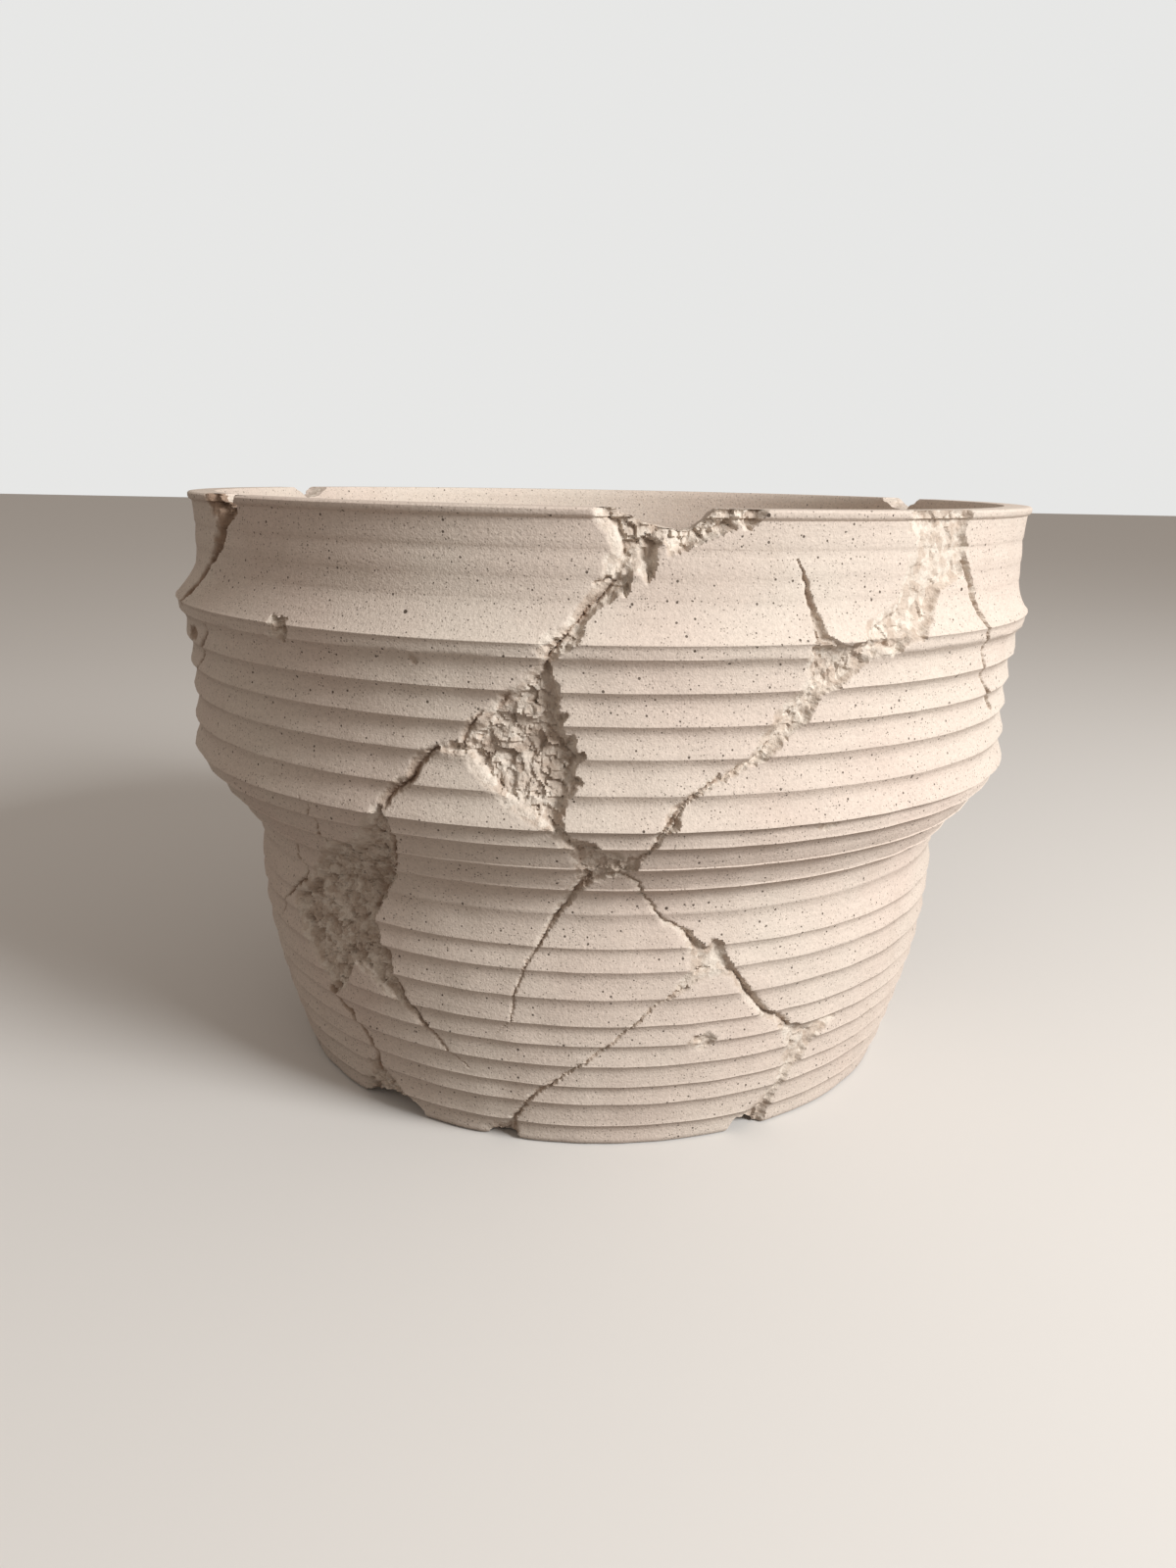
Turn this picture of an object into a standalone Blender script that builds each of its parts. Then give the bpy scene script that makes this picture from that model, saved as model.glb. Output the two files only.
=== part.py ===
"""A cracked flower pot, turned in one piece from pale speckled clay.

The pot is one wall turned from a ribbed section. Its damage is cut into that
wall: a notch broken through the rim, patches where the skin has burst off,
cracks that join them, and chips at the rim, the ribs and the foot.

The pot stands on the ground at the origin, with its damaged front toward -Y.
Sizes are in metres. A place on the wall is an angle, in degrees from the front
toward +X, and a row: row 0 is the foot, each proud rib edge above it counts
one more, row 21 is the lower edge of the lip and row 22 is the top of the rim.
"""
import math

import bmesh
import bpy
from mathutils import Vector

# The wall and its inside
WALL = 0.007
FLOOR = 0.009
DRAIN_HOLE_RADIUS = 0.008
FOOT_CHAMFER = 0.0006
INNER_CORNER = 0.010

# The bowl, from the foot up to the neck
FOOT_RADIUS = 0.0918
NECK_RADIUS = 0.1038
SWELL_HEIGHT = 0.060
BOWL_BANDS = (0.0065, 0.0073, 0.0058, 0.0065, 0.0062, 0.0060, 0.0075, 0.0074, 0.0062, 0.0088)
BOWL_GROOVE = 0.0009

# The shoulder, which overhangs the neck, with its top edge a step inside the belly
SHOULDER_BANDS = (0.0075, 0.0068, 0.0065, 0.0046)
SHOULDER_STEP = 0.0003
SHOULDER_GROOVE = 0.0010

# The belly, with lapped ribs up to the sharp ridge
BELLY_BANDS = (0.0080, 0.0081, 0.0073, 0.0074, 0.0074, 0.0030)
BELLY_RADIUS = 0.1200
HOLLOW_SHARE = 0.33
RIDGE_RADIUS = 0.1234
BELLY_GROOVE = 0.0012
GROOVE_DROP = 0.0013

# The collar, from the ridge up to the lip
COLLAR_HEIGHT = 0.0261
WAIST_RADIUS = 0.1188
FLARE_HEIGHT = 0.0110
CAVETTO_HEIGHT = 0.0070
COLLAR_LEAN = 0.0016
RIM_RADIUS = 0.1202
LIP_HEIGHT = 0.0017
LIP_UNDERCUT = 0.0009
LIP_EDGE = 0.0004

# How finely the wall is turned, and the angle past which an edge stays sharp
TURN_STEPS = 48
CURVE_STEPS = 3
MERGE_DISTANCE = 0.00005
SHARP_ANGLE = math.radians(28)
FRONT = -math.pi / 2

# The cutters: how far they stand outside the wall, how much wider they get there,
# how wide the bottom of a crack stays, and the two sloping sides of a patch
CUT_REACH = 0.0060
CUT_FLARE = 0.35
CRACK_FLOOR = 0.35
BEVEL_WIDTH = 0.0025
BEVEL_LIMIT = 0.4
BEVEL_DEPTH = 0.85
STEEP_WIDTH = 0.0008
STEEP_LIMIT = 0.2

CLAY_COLOUR = (0.60, 0.51, 0.43, 1.0)
CLAY_ROUGHNESS = 0.92

# Patches where the skin has burst off: row, left and right angle, and depth as a
# share of the wall, from the top of each patch to its bottom
SCARS = {
    "notch_rubble": ((22.4, -2.1, 16.0, 0.64), (21.0, -2.0, 16.0, 0.64), (20.92, -1.9, 14.6, 0.57),
                     (20.8, -0.9, 8.6, 0.60), (20.7, -1.1, 6.2, 0.57), (20.56, -1.3, 4.3, 0.54),
                     (20.46, -2.3, 2.2, 0.46)),
    "upper_break": ((20.50, -2.2, 2.0, 0.46), (20.35, -3.0, 1.0, 0.43), (20.2, -4.2, -1.5, 0.40),
                    (20.05, -6.4, -2.2, 0.43), (19.6, -6.9, -3.4, 0.46), (19.0, -6.6, -4.7, 0.43),
                    (18.7, -7.4, -4.9, 0.43)),
    "centre_scar": ((18.8, -7.2, -5.0, 0.37), (18.4, -8.2, -4.9, 0.43), (18.0, -10.2, -4.5, 0.49),
                    (17.5, -12.0, -4.2, 0.51), (17.0, -13.4, -3.8, 0.57), (16.5, -14.4, -2.7, 0.60),
                    (16.0, -15.0, -1.5, 0.60), (15.5, -14.2, -2.3, 0.57), (15.0, -12.0, -2.8, 0.51),
                    (14.5, -10.0, -3.5, 0.46), (14.05, -6.6, -3.6, 0.37), (13.7, -5.0, -3.4, 0.34)),
    "junction_scar": ((13.8, -4.9, -3.6, 0.34), (13.3, -3.8, -1.9, 0.37), (12.9, -2.7, 0.6, 0.43),
                      (12.4, -2.4, 3.0, 0.46), (12.05, -2.0, 3.4, 0.43), (11.7, -2.2, 1.4, 0.40),
                      (11.4, -2.5, -0.4, 0.34)),
    "right_scar": ((22.4, 33.0, 44.4, 0.46), (20.9, 33.6, 44.2, 0.46), (20.7, 34.6, 44.3, 0.43),
                   (20.5, 33.6, 43.4, 0.40), (20.3, 31.6, 41.8, 0.37), (20.1, 29.2, 38.6, 0.37),
                   (19.7, 26.2, 36.0, 0.40), (19.2, 23.0, 33.0, 0.40), (18.8, 21.6, 28.6, 0.43),
                   (18.3, 21.2, 27.2, 0.43), (17.8, 19.8, 24.6, 0.43), (17.4, 18.6, 23.4, 0.43),
                   (17.0, 17.6, 21.8, 0.40), (16.5, 16.6, 20.4, 0.37), (16.0, 15.4, 18.8, 0.31)),
    "left_scar_top": ((14.4, -24.9, -23.7, 0.31), (14.0, -26.2, -24.0, 0.37), (13.4, -28.0, -24.2, 0.43),
                      (12.8, -29.8, -24.6, 0.46), (12.2, -31.9, -25.2, 0.49), (11.8, -36.6, -26.0, 0.51),
                      (11.3, -39.6, -27.0, 0.54), (10.7, -42.8, -28.0, 0.57), (10.1, -45.6, -29.8, 0.57)),
    "left_scar": ((10.4, -44.2, -28.9, 0.54), (10.0, -46.2, -30.0, 0.57), (9.4, -49.0, -32.2, 0.60),
                  (8.6, -52.6, -32.4, 0.60), (7.9, -52.4, -31.4, 0.60), (7.3, -51.6, -30.3, 0.57),
                  (6.9, -50.4, -30.2, 0.51)),
    "left_tongue": ((7.16, -51.2, -37.7, 0.53), (6.4, -49.0, -39.0, 0.49), (6.0, -47.2, -39.9, 0.43),
                    (5.5, -45.6, -41.4, 0.37), (5.0, -44.6, -43.4, 0.31)),
    "right_tongue": ((7.1, -37.8, -30.3, 0.54), (6.6, -36.8, -29.9, 0.46), (6.2, -33.6, -29.2, 0.40),
                     (5.8, -30.8, -27.6, 0.37)),
    "low_scar": ((9.6, 10.0, 11.8, 0.26), (9.3, 11.0, 15.6, 0.34), (8.95, 11.6, 17.6, 0.40),
                 (8.5, 12.0, 18.0, 0.40), (8.0, 12.2, 19.0, 0.40), (7.6, 11.6, 19.6, 0.34),
                 (7.3, 10.6, 14.4, 0.26)),
    "right_low_scar": ((5.2, 28.8, 33.0, 0.26), (4.9, 28.6, 39.6, 0.31), (4.4, 29.6, 39.0, 0.34),
                       (3.9, 30.4, 37.2, 0.34), (3.3, 30.2, 34.6, 0.31), (2.7, 30.0, 33.4, 0.29),
                       (2.1, 29.6, 32.2, 0.26), (1.6, 27.8, 30.6, 0.26), (1.0, 25.6, 29.8, 0.34)),
    "bowl_chip": ((5.35, 15.4, 17.4, 0.23), (5.05, 14.6, 17.8, 0.31), (4.8, 13.6, 16.6, 0.23)),
    "ridge_chip": ((20.1, -37.6, -35.6, 0.26), (19.5, -39.2, -35.6, 0.37), (18.8, -38.8, -35.4, 0.29),
                   (18.5, -37.4, -35.8, 0.17)),
    "foot_scar": ((2.2, -40.0, -36.6, 0.29), (1.6, -40.8, -35.6, 0.37), (1.0, -42.8, -33.4, 0.43),
                  (0.5, -44.2, -31.8, 0.49)),
    "back_break": ((22.4, 151.0, 158.0, 0.57), (21.0, 151.4, 157.4, 0.54), (20.7, 152.6, 156.6, 0.46),
                   (20.4, 153.4, 156.0, 0.37)),
}

# Cracks: angle, row, half width, and depth as a share of the wall, along the way
CRACKS = {
    "crack_to_right_scar": ((2.2, 12.2, 0.0006, 0.31), (5.0, 12.5, 0.0007, 0.31), (6.0, 13.1, 0.0008, 0.31),
                            (7.0, 14.0, 0.0012, 0.34), (8.4, 14.5, 0.0012, 0.34), (10.2, 15.0, 0.0007, 0.29),
                            (12.6, 15.4, 0.0009, 0.31), (15.4, 15.8, 0.0011, 0.34),
                            (17.6, 16.3, 0.0016, 0.40)),
    "tapered_crack": ((19.7, 20.66, 0.0002, 0.17), (20.4, 20.5, 0.0004, 0.26), (20.8, 20.35, 0.0007, 0.31),
                      (21.7, 20.2, 0.0012, 0.40), (22.9, 20.05, 0.0022, 0.46), (24.0, 19.4, 0.0034, 0.43)),
    "right_crack": ((44.0, 20.4, 0.0010, 0.26), (46.8, 20.2, 0.0008, 0.26), (50.0, 20.0, 0.0006, 0.26),
                    (50.4, 18.6, 0.0006, 0.23), (53.4, 17.6, 0.0006, 0.23), (56.4, 16.7, 0.0009, 0.23),
                    (58.2, 16.1, 0.0004, 0.17)),
    "wing_crack": ((-14.0, 16.2, 0.0018, 0.40), (-17.6, 16.0, 0.0014, 0.37), (-20.2, 15.5, 0.0009, 0.37),
                   (-22.2, 14.9, 0.0011, 0.40), (-24.2, 14.4, 0.0012, 0.43), (-24.7, 13.7, 0.0010, 0.43)),
    "crack_above_left_scar": ((-36.4, 14.15, 0.0003, 0.17), (-35.8, 13.2, 0.0005, 0.23),
                              (-37.2, 12.2, 0.0006, 0.26), (-39.4, 11.3, 0.0012, 0.34)),
    "left_edge_crack": ((-50.0, 10.8, 0.0004, 0.20), (-49.6, 9.8, 0.0009, 0.31), (-51.4, 9.1, 0.0008, 0.29),
                        (-55.5, 8.3, 0.0006, 0.26), (-58.0, 7.6, 0.0006, 0.26), (-59.6, 7.0, 0.0003, 0.17)),
    "left_tongue_crack": ((-44.2, 5.3, 0.0010, 0.34), (-42.4, 4.6, 0.0008, 0.29), (-39.4, 3.6, 0.0008, 0.29),
                          (-37.4, 2.9, 0.0009, 0.31), (-37.6, 2.0, 0.0012, 0.34)),
    "right_tongue_crack": ((-29.4, 6.1, 0.0014, 0.37), (-26.8, 5.4, 0.0010, 0.31), (-24.6, 4.8, 0.0006, 0.26),
                           (-22.2, 4.0, 0.0003, 0.17)),
    "crack_down_left": ((-1.4, 11.6, 0.0010, 0.34), (-3.6, 10.6, 0.0011, 0.34), (-5.6, 9.9, 0.0008, 0.29),
                        (-8.0, 8.9, 0.0005, 0.26), (-9.8, 7.8, 0.0004, 0.23), (-11.3, 7.1, 0.0004, 0.23),
                        (-11.6, 6.1, 0.0003, 0.17)),
    "crack_down_right": ((2.6, 12.0, 0.0008, 0.31), (5.2, 11.0, 0.0005, 0.26), (7.2, 10.2, 0.0005, 0.26),
                         (9.4, 9.7, 0.0007, 0.29), (12.2, 9.3, 0.0009, 0.31)),
    "crack_low_right": ((17.0, 9.1, 0.0010, 0.34), (18.4, 8.2, 0.0010, 0.37), (20.6, 7.3, 0.0010, 0.34),
                        (23.0, 6.4, 0.0010, 0.34), (26.6, 5.6, 0.0010, 0.31), (30.4, 4.9, 0.0012, 0.31)),
    "crack_to_foot": ((13.4, 7.6, 0.0010, 0.26), (10.0, 7.0, 0.0006, 0.26), (6.0, 6.1, 0.0005, 0.26),
                      (2.4, 5.1, 0.0006, 0.26), (-3.0, 3.8, 0.0006, 0.26), (-8.0, 2.6, 0.0007, 0.26),
                      (-11.4, 1.5, 0.0009, 0.31), (-12.8, 0.8, 0.0010, 0.34), (-13.2, -0.6, 0.0010, 0.34)),
    "left_rim_crack": ((-50.0, 20.95, 0.0014, 0.37), (-49.2, 20.66, 0.0009, 0.34),
                       (-51.6, 20.45, 0.0006, 0.29), (-54.0, 20.27, 0.0005, 0.29),
                       (-59.6, 20.05, 0.0006, 0.29), (-62.5, 19.0, 0.0005, 0.23)),
    "back_crack": ((154.8, 20.6, 0.0010, 0.37), (152.6, 20.2, 0.0008, 0.34), (154.0, 19.4, 0.0009, 0.34),
                   (157.0, 18.3, 0.0007, 0.31), (155.4, 17.2, 0.0005, 0.26), (156.6, 16.2, 0.0003, 0.17)),
}

# Places broken right away: the outline as angle and row, then how far in the bite
# goes, as a share of the wall
BITES = {
    "rim_notch": (((0.6, 22.8), (1.4, 21.4), (3.0, 20.97), (5.0, 20.9), (7.2, 20.88), (8.6, 20.95),
                   (9.6, 21.4), (10.2, 22.8)), 1.9),
    "left_rim_chip": (((-53.8, 22.8), (-52.6, 21.2), (-50.8, 20.94), (-49.0, 20.92), (-48.0, 21.3),
                       (-47.6, 22.8)), 1.9),
    "back_left_chip": (((-155.0, 22.8), (-154.2, 21.3), (-152.6, 21.0), (-151.0, 21.2), (-150.2, 22.8)), 1.9),
    "back_right_chip": (((152.6, 22.8), (153.2, 21.3), (154.6, 21.0), (156.0, 21.2), (156.8, 22.8)), 1.9),
    "foot_notch_left": (((-45.0, -0.6), (-44.0, 0.1), (-41.0, 0.32), (-38.0, 0.55), (-34.6, 0.66),
                         (-32.0, 0.66), (-30.4, 0.36), (-29.2, -0.6)), 1.15),
    "foot_notch_right": (((22.4, -0.6), (23.6, 0.3), (25.0, 0.66), (27.2, 0.5), (30.0, -0.6)), 1.15),
    "foot_chip": (((-18.8, -0.6), (-18.0, 0.2), (-15.6, 0.3), (-13.4, 0.36), (-12.4, -0.6)), 0.65),
}


# The rows, and the heights of their edges from the foot to the top of the rim
BANDS = BOWL_BANDS + SHOULDER_BANDS + BELLY_BANDS + (COLLAR_HEIGHT, LIP_HEIGHT)
EDGES = [sum(BANDS[:row]) for row in range(len(BANDS) + 1)]
NECK_ROW = len(BOWL_BANDS)
SHOULDER_ROW = NECK_ROW + len(SHOULDER_BANDS)
RIDGE_ROW = SHOULDER_ROW + len(BELLY_BANDS)
LIP_ROW = RIDGE_ROW + 1
RIM_ROW = LIP_ROW + 1
NECK_HEIGHT = EDGES[NECK_ROW]
SHOULDER_HEIGHT = EDGES[SHOULDER_ROW]
RIDGE_HEIGHT = EDGES[RIDGE_ROW]
LIP_EDGE_HEIGHT = EDGES[LIP_ROW]
POT_HEIGHT = EDGES[RIM_ROW]
HOLLOW_HEIGHT = SHOULDER_HEIGHT + (RIDGE_HEIGHT - SHOULDER_HEIGHT) * HOLLOW_SHARE


def height_at(row):
    """Height of a place given by its row, also a little past the rim or the foot."""
    below = min(max(math.floor(row), 0), RIM_ROW - 1)
    return EDGES[below] + (row - below) * (EDGES[below + 1] - EDGES[below])


def bowl_radius(height):
    swell = min(height / SWELL_HEIGHT, 1.0)
    return FOOT_RADIUS + (NECK_RADIUS - FOOT_RADIUS) * math.sin(swell * math.pi / 2)


def belly_radius(height):
    """The belly is hollowed a little between the shoulder and the ridge."""
    reach = (height - HOLLOW_HEIGHT) / (RIDGE_HEIGHT - HOLLOW_HEIGHT)
    return BELLY_RADIUS + (RIDGE_RADIUS - BELLY_RADIUS) * reach * reach


def shoulder_radius(height):
    """The shoulder swings out from the neck to meet the belly."""
    share = (height - NECK_HEIGHT) / (SHOULDER_HEIGHT - NECK_HEIGHT)
    eased = share * share * (3 - 2 * share)
    top = belly_radius(SHOULDER_HEIGHT) - SHOULDER_STEP
    return NECK_RADIUS + (top - NECK_RADIUS) * (share + eased) / 2


def collar_radius(height):
    """The collar flares down to the ridge and out under the lip, with a waist between."""
    over_ridge = height - RIDGE_HEIGHT
    under_lip = LIP_EDGE_HEIGHT - height
    if over_ridge < FLARE_HEIGHT:
        flare = 1 - over_ridge / FLARE_HEIGHT
        return WAIST_RADIUS + (RIDGE_RADIUS - WAIST_RADIUS) * flare * flare
    if under_lip < CAVETTO_HEIGHT:
        rise = 1 - max(under_lip, 0.0) / CAVETTO_HEIGHT
        return WAIST_RADIUS + (RIM_RADIUS - LIP_UNDERCUT - WAIST_RADIUS) * rise * rise
    return WAIST_RADIUS


def skin_radius(height):
    """Radius of the proud edges at a height, which the cuts are measured from."""
    if height < NECK_HEIGHT:
        return bowl_radius(max(height, 0.0))
    if height < SHOULDER_HEIGHT:
        return shoulder_radius(height)
    if height < RIDGE_HEIGHT:
        return belly_radius(height)
    return collar_radius(min(height, LIP_EDGE_HEIGHT))


def lean_at(height):
    """How far the collar stands off the axis toward +X: it was set down a little askew."""
    share = min(max((height - RIDGE_HEIGHT) / FLARE_HEIGHT, 0.0), 1.0)
    return COLLAR_LEAN * share * share * (3 - 2 * share)


def groove_at(row):
    """Depth of the groove under the proud edge of a row."""
    if row <= NECK_ROW:
        return BOWL_GROOVE
    return SHOULDER_GROOVE if row < SHOULDER_ROW else BELLY_GROOVE


def outer_outline():
    """The outside of the section, from the top of the rim down to the foot."""
    outline = [(RIM_RADIUS - LIP_EDGE, POT_HEIGHT), (RIM_RADIUS, POT_HEIGHT - LIP_EDGE),
               (RIM_RADIUS, LIP_EDGE_HEIGHT)]
    for step in range(CURVE_STEPS + 1):
        height = LIP_EDGE_HEIGHT - CAVETTO_HEIGHT * step / CURVE_STEPS - (LIP_EDGE if step == 0 else 0)
        outline.append((collar_radius(height), height))
    for step in range(CURVE_STEPS + 1):
        height = RIDGE_HEIGHT + FLARE_HEIGHT * (1 - step / CURVE_STEPS)
        outline.append((collar_radius(height), height))
    for row in range(RIDGE_ROW - 1, 0, -1):
        edge = EDGES[row]
        outline.append((skin_radius(edge), edge))
        foot_of_groove = edge - min(GROOVE_DROP, (edge - EDGES[row - 1]) / 2)
        outline.append((skin_radius(foot_of_groove) - groove_at(row), foot_of_groove))
    outline.append((FOOT_RADIUS, FOOT_CHAMFER))
    outline.append((FOOT_RADIUS - FOOT_CHAMFER, 0.0))
    return outline


def inner_outline():
    """The base, the drain hole and the smooth inside, from the hole up to the rim."""
    corner = FLOOR + INNER_CORNER
    outline = [(DRAIN_HOLE_RADIUS, 0.0), (DRAIN_HOLE_RADIUS, FLOOR),
               (skin_radius(corner) - WALL - INNER_CORNER, FLOOR)]
    stations = (corner, (corner + SWELL_HEIGHT) / 2, NECK_HEIGHT, (NECK_HEIGHT + SHOULDER_HEIGHT) / 2,
                SHOULDER_HEIGHT, HOLLOW_HEIGHT, (HOLLOW_HEIGHT + RIDGE_HEIGHT) / 2,
                RIDGE_HEIGHT - GROOVE_DROP, RIDGE_HEIGHT + FLARE_HEIGHT / 2,
                RIDGE_HEIGHT + FLARE_HEIGHT, LIP_EDGE_HEIGHT - CAVETTO_HEIGHT,
                LIP_EDGE_HEIGHT - CAVETTO_HEIGHT / 2, POT_HEIGHT - LIP_EDGE)
    for height in stations:
        outline.append((skin_radius(height) - WALL, height))
    outline.append((skin_radius(POT_HEIGHT) - WALL + LIP_EDGE, POT_HEIGHT))
    return outline


def turned_wall():
    """Turn the closed section once round, and return the pot's mesh."""
    outline = outer_outline() + inner_outline()
    section = bmesh.new()
    corners = [section.verts.new((radius, 0.0, height)) for radius, height in outline]
    for corner, following in zip(corners, corners[1:] + corners[:1]):
        section.edges.new((corner, following))
    mesh = bpy.data.meshes.new("pot_section")
    section.to_mesh(mesh)
    section.free()
    turned = bpy.data.objects.new("pot_section", mesh)
    bpy.context.scene.collection.objects.link(turned)
    screw = turned.modifiers.new("turn", "SCREW")
    screw.steps = TURN_STEPS
    screw.render_steps = TURN_STEPS
    screw.use_merge_vertices = True
    screw.merge_threshold = MERGE_DISTANCE
    bpy.context.view_layer.update()
    evaluated = turned.evaluated_get(bpy.context.evaluated_depsgraph_get())
    wall = bpy.data.meshes.new_from_object(evaluated)
    wall.name = "pot"
    for vertex in wall.vertices:
        vertex.co.x += lean_at(vertex.co.z)
    bpy.data.objects.remove(turned)
    wall.shade_smooth()
    wall.set_sharp_from_angle(angle=SHARP_ANGLE)
    return wall


def place(angle, height, depth):
    """A point at an angle and a height, at a depth under the skin. Less than 0 is outside."""
    turn = FRONT + math.radians(angle)
    radius = skin_radius(height) - depth
    return Vector((radius * math.cos(turn) + lean_at(height), radius * math.sin(turn), height))


def loft(name, rings, cutters):
    """Join a row of rings, each a list of points, into one closed cutter."""
    shape = bmesh.new()
    loops = [[shape.verts.new(point) for point in ring] for ring in rings]
    for ring, following in zip(loops, loops[1:]):
        for i, corner in enumerate(ring):
            j = (i + 1) % len(ring)
            shape.faces.new((corner, ring[j], following[j], following[i]))
    shape.faces.new(list(reversed(loops[0])))
    shape.faces.new(loops[-1])
    bmesh.ops.triangulate(shape, faces=shape.faces)
    bmesh.ops.recalc_face_normals(shape, faces=shape.faces)
    mesh = bpy.data.meshes.new(name)
    shape.to_mesh(mesh)
    shape.free()
    cutter = bpy.data.objects.new(name, mesh)
    cutter.hide_render = True
    cutter.display_type = "WIRE"
    cutters.objects.link(cutter)


def scar_cutter(name, spans, cutters):
    """A patch: a gentle bevel down from its left side, a rough floor, a steep right side."""
    rings = []
    for row, left, right, share in spans:
        height = height_at(row)
        depth = share * WALL
        degrees = math.degrees(1 / skin_radius(height))
        width = (right - left) / degrees
        bevel = min(BEVEL_WIDTH, BEVEL_LIMIT * width) * degrees
        steep = min(STEEP_WIDTH, STEEP_LIMIT * width) * degrees
        rings.append([place(left - bevel * CUT_FLARE, height, -CUT_REACH),
                      place(right + steep * CUT_FLARE, height, -CUT_REACH),
                      place(right, height, 0.0),
                      place(right - steep, height, depth),
                      place(left + bevel, height, depth * BEVEL_DEPTH),
                      place(left, height, 0.0)])
    loft(name, rings, cutters)


def crack_cutter(name, points, cutters):
    """A crack: a narrow wedge that follows its points over the ribs."""
    rings = []
    for i, (angle, row, half_width, share) in enumerate(points):
        before = points[max(i - 1, 0)]
        after = points[min(i + 1, len(points) - 1)]
        height = height_at(row)
        degrees = math.degrees(1 / skin_radius(height))
        way = Vector(((after[0] - before[0]) / degrees, height_at(after[1]) - height_at(before[1])))
        side = Vector((-way.y, way.x)).normalized() * half_width
        ring = []
        for across, down in ((1 + CUT_FLARE, -CUT_REACH), (-1 - CUT_FLARE, -CUT_REACH),
                             (-CRACK_FLOOR, share * WALL), (CRACK_FLOOR, share * WALL)):
            ring.append(place(angle + across * side.x * degrees, height + across * side.y, down))
        rings.append(ring)
    loft(name, rings, cutters)


def bite_cutter(name, outline, share, cutters):
    """A piece broken right away: one outline carried inward from outside the wall."""
    rings = []
    for depth in (-CUT_REACH, share * WALL):
        rings.append([place(angle, height_at(row), depth) for angle, row in outline])
    loft(name, rings, cutters)


def clay_material():
    clay = bpy.data.materials.new("speckled_clay")
    clay.use_nodes = True
    surface = clay.node_tree.nodes["Principled BSDF"]
    surface.inputs["Base Color"].default_value = CLAY_COLOUR
    surface.inputs["Roughness"].default_value = CLAY_ROUGHNESS
    surface.inputs["Metallic"].default_value = 0.0
    clay.diffuse_color = CLAY_COLOUR
    return clay


def main():
    for leftover in list(bpy.data.objects):
        bpy.data.objects.remove(leftover)
    pot_collection = bpy.data.collections.new("cracked_flower_pot")
    cutters = bpy.data.collections.new("damage_cutters")
    for collection in (pot_collection, cutters):
        bpy.context.scene.collection.children.link(collection)

    pot = bpy.data.objects.new("pot", turned_wall())
    pot.data.materials.append(clay_material())
    pot_collection.objects.link(pot)

    for name, spans in SCARS.items():
        scar_cutter(name, spans, cutters)
    for name, points in CRACKS.items():
        crack_cutter(name, points, cutters)
    for name, (outline, share) in BITES.items():
        bite_cutter(name, outline, share, cutters)

    for cutter in cutters.objects:
        damage = pot.modifiers.new(cutter.name, "BOOLEAN")
        damage.operation = "DIFFERENCE"
        damage.solver = "EXACT"
        damage.object = cutter


main()
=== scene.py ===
# %% [markdown]
# A cracked flower pot. The real one was turned on a wheel in one piece, from pale clay full of
# dark specks. Thin lapped ribs run round it, and its front has burst: a notch is broken out of
# the rim, patches of skin are gone, and cracks run between them down to the foot.
# This lesson turns the wall from its section, bites pieces out of it, bursts its skin, and then
# gives it its clay. It starts by loading the measured model, which sets where everything goes.

# %% Load the measured model
import math

import bpy
import numpy as np
from mathutils import Matrix, Vector, noise


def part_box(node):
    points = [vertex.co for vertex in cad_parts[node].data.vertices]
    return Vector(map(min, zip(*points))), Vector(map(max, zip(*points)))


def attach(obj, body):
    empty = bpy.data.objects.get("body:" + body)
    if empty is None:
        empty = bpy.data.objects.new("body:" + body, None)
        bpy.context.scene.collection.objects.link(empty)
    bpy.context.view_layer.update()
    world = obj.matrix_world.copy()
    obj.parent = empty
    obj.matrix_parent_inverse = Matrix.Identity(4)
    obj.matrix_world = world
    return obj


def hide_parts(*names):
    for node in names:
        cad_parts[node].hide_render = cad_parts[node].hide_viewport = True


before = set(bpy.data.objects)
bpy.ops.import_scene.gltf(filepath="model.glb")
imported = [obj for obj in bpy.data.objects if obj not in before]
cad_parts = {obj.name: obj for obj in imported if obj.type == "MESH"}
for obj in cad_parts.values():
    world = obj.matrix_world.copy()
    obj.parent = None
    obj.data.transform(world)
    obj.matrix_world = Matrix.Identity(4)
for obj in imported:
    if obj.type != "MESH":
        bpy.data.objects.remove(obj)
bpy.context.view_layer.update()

pot_low, pot_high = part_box("pot")
POT_HEIGHT = float(pot_high[2])
print("The measured pot reaches from", [round(v, 4) for v in pot_low], "to", [round(v, 4) for v in pot_high])

# %% [markdown]
# Everything on the wall is found by an angle and a row. The angle is in degrees from the front
# toward +X. Row 0 is the foot, each proud rib edge above it counts one more, row 20 is the sharp
# ridge, row 21 the lip's lower edge and row 22 the top of the rim. Rows follow the ribs, so a
# crack that is read off a picture rib by rib lands in the right place.

# %% Heights of the rows, in metres
BOWL_BANDS = (0.0065, 0.0073, 0.0058, 0.0065, 0.0062, 0.0060, 0.0075, 0.0074, 0.0062, 0.0088)
SHOULDER_BANDS = (0.0075, 0.0068, 0.0065, 0.0046)
BELLY_BANDS = (0.0080, 0.0081, 0.0073, 0.0074, 0.0074, 0.0030)
COLLAR_HEIGHT = 0.0261
LIP_HEIGHT = 0.0017
BANDS = BOWL_BANDS + SHOULDER_BANDS + BELLY_BANDS + (COLLAR_HEIGHT, LIP_HEIGHT)
EDGES = np.concatenate([[0.0], np.cumsum(BANDS)])
NECK_ROW = len(BOWL_BANDS)
SHOULDER_ROW = NECK_ROW + len(SHOULDER_BANDS)
RIDGE_ROW = SHOULDER_ROW + len(BELLY_BANDS)
LIP_ROW = RIDGE_ROW + 1
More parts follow.
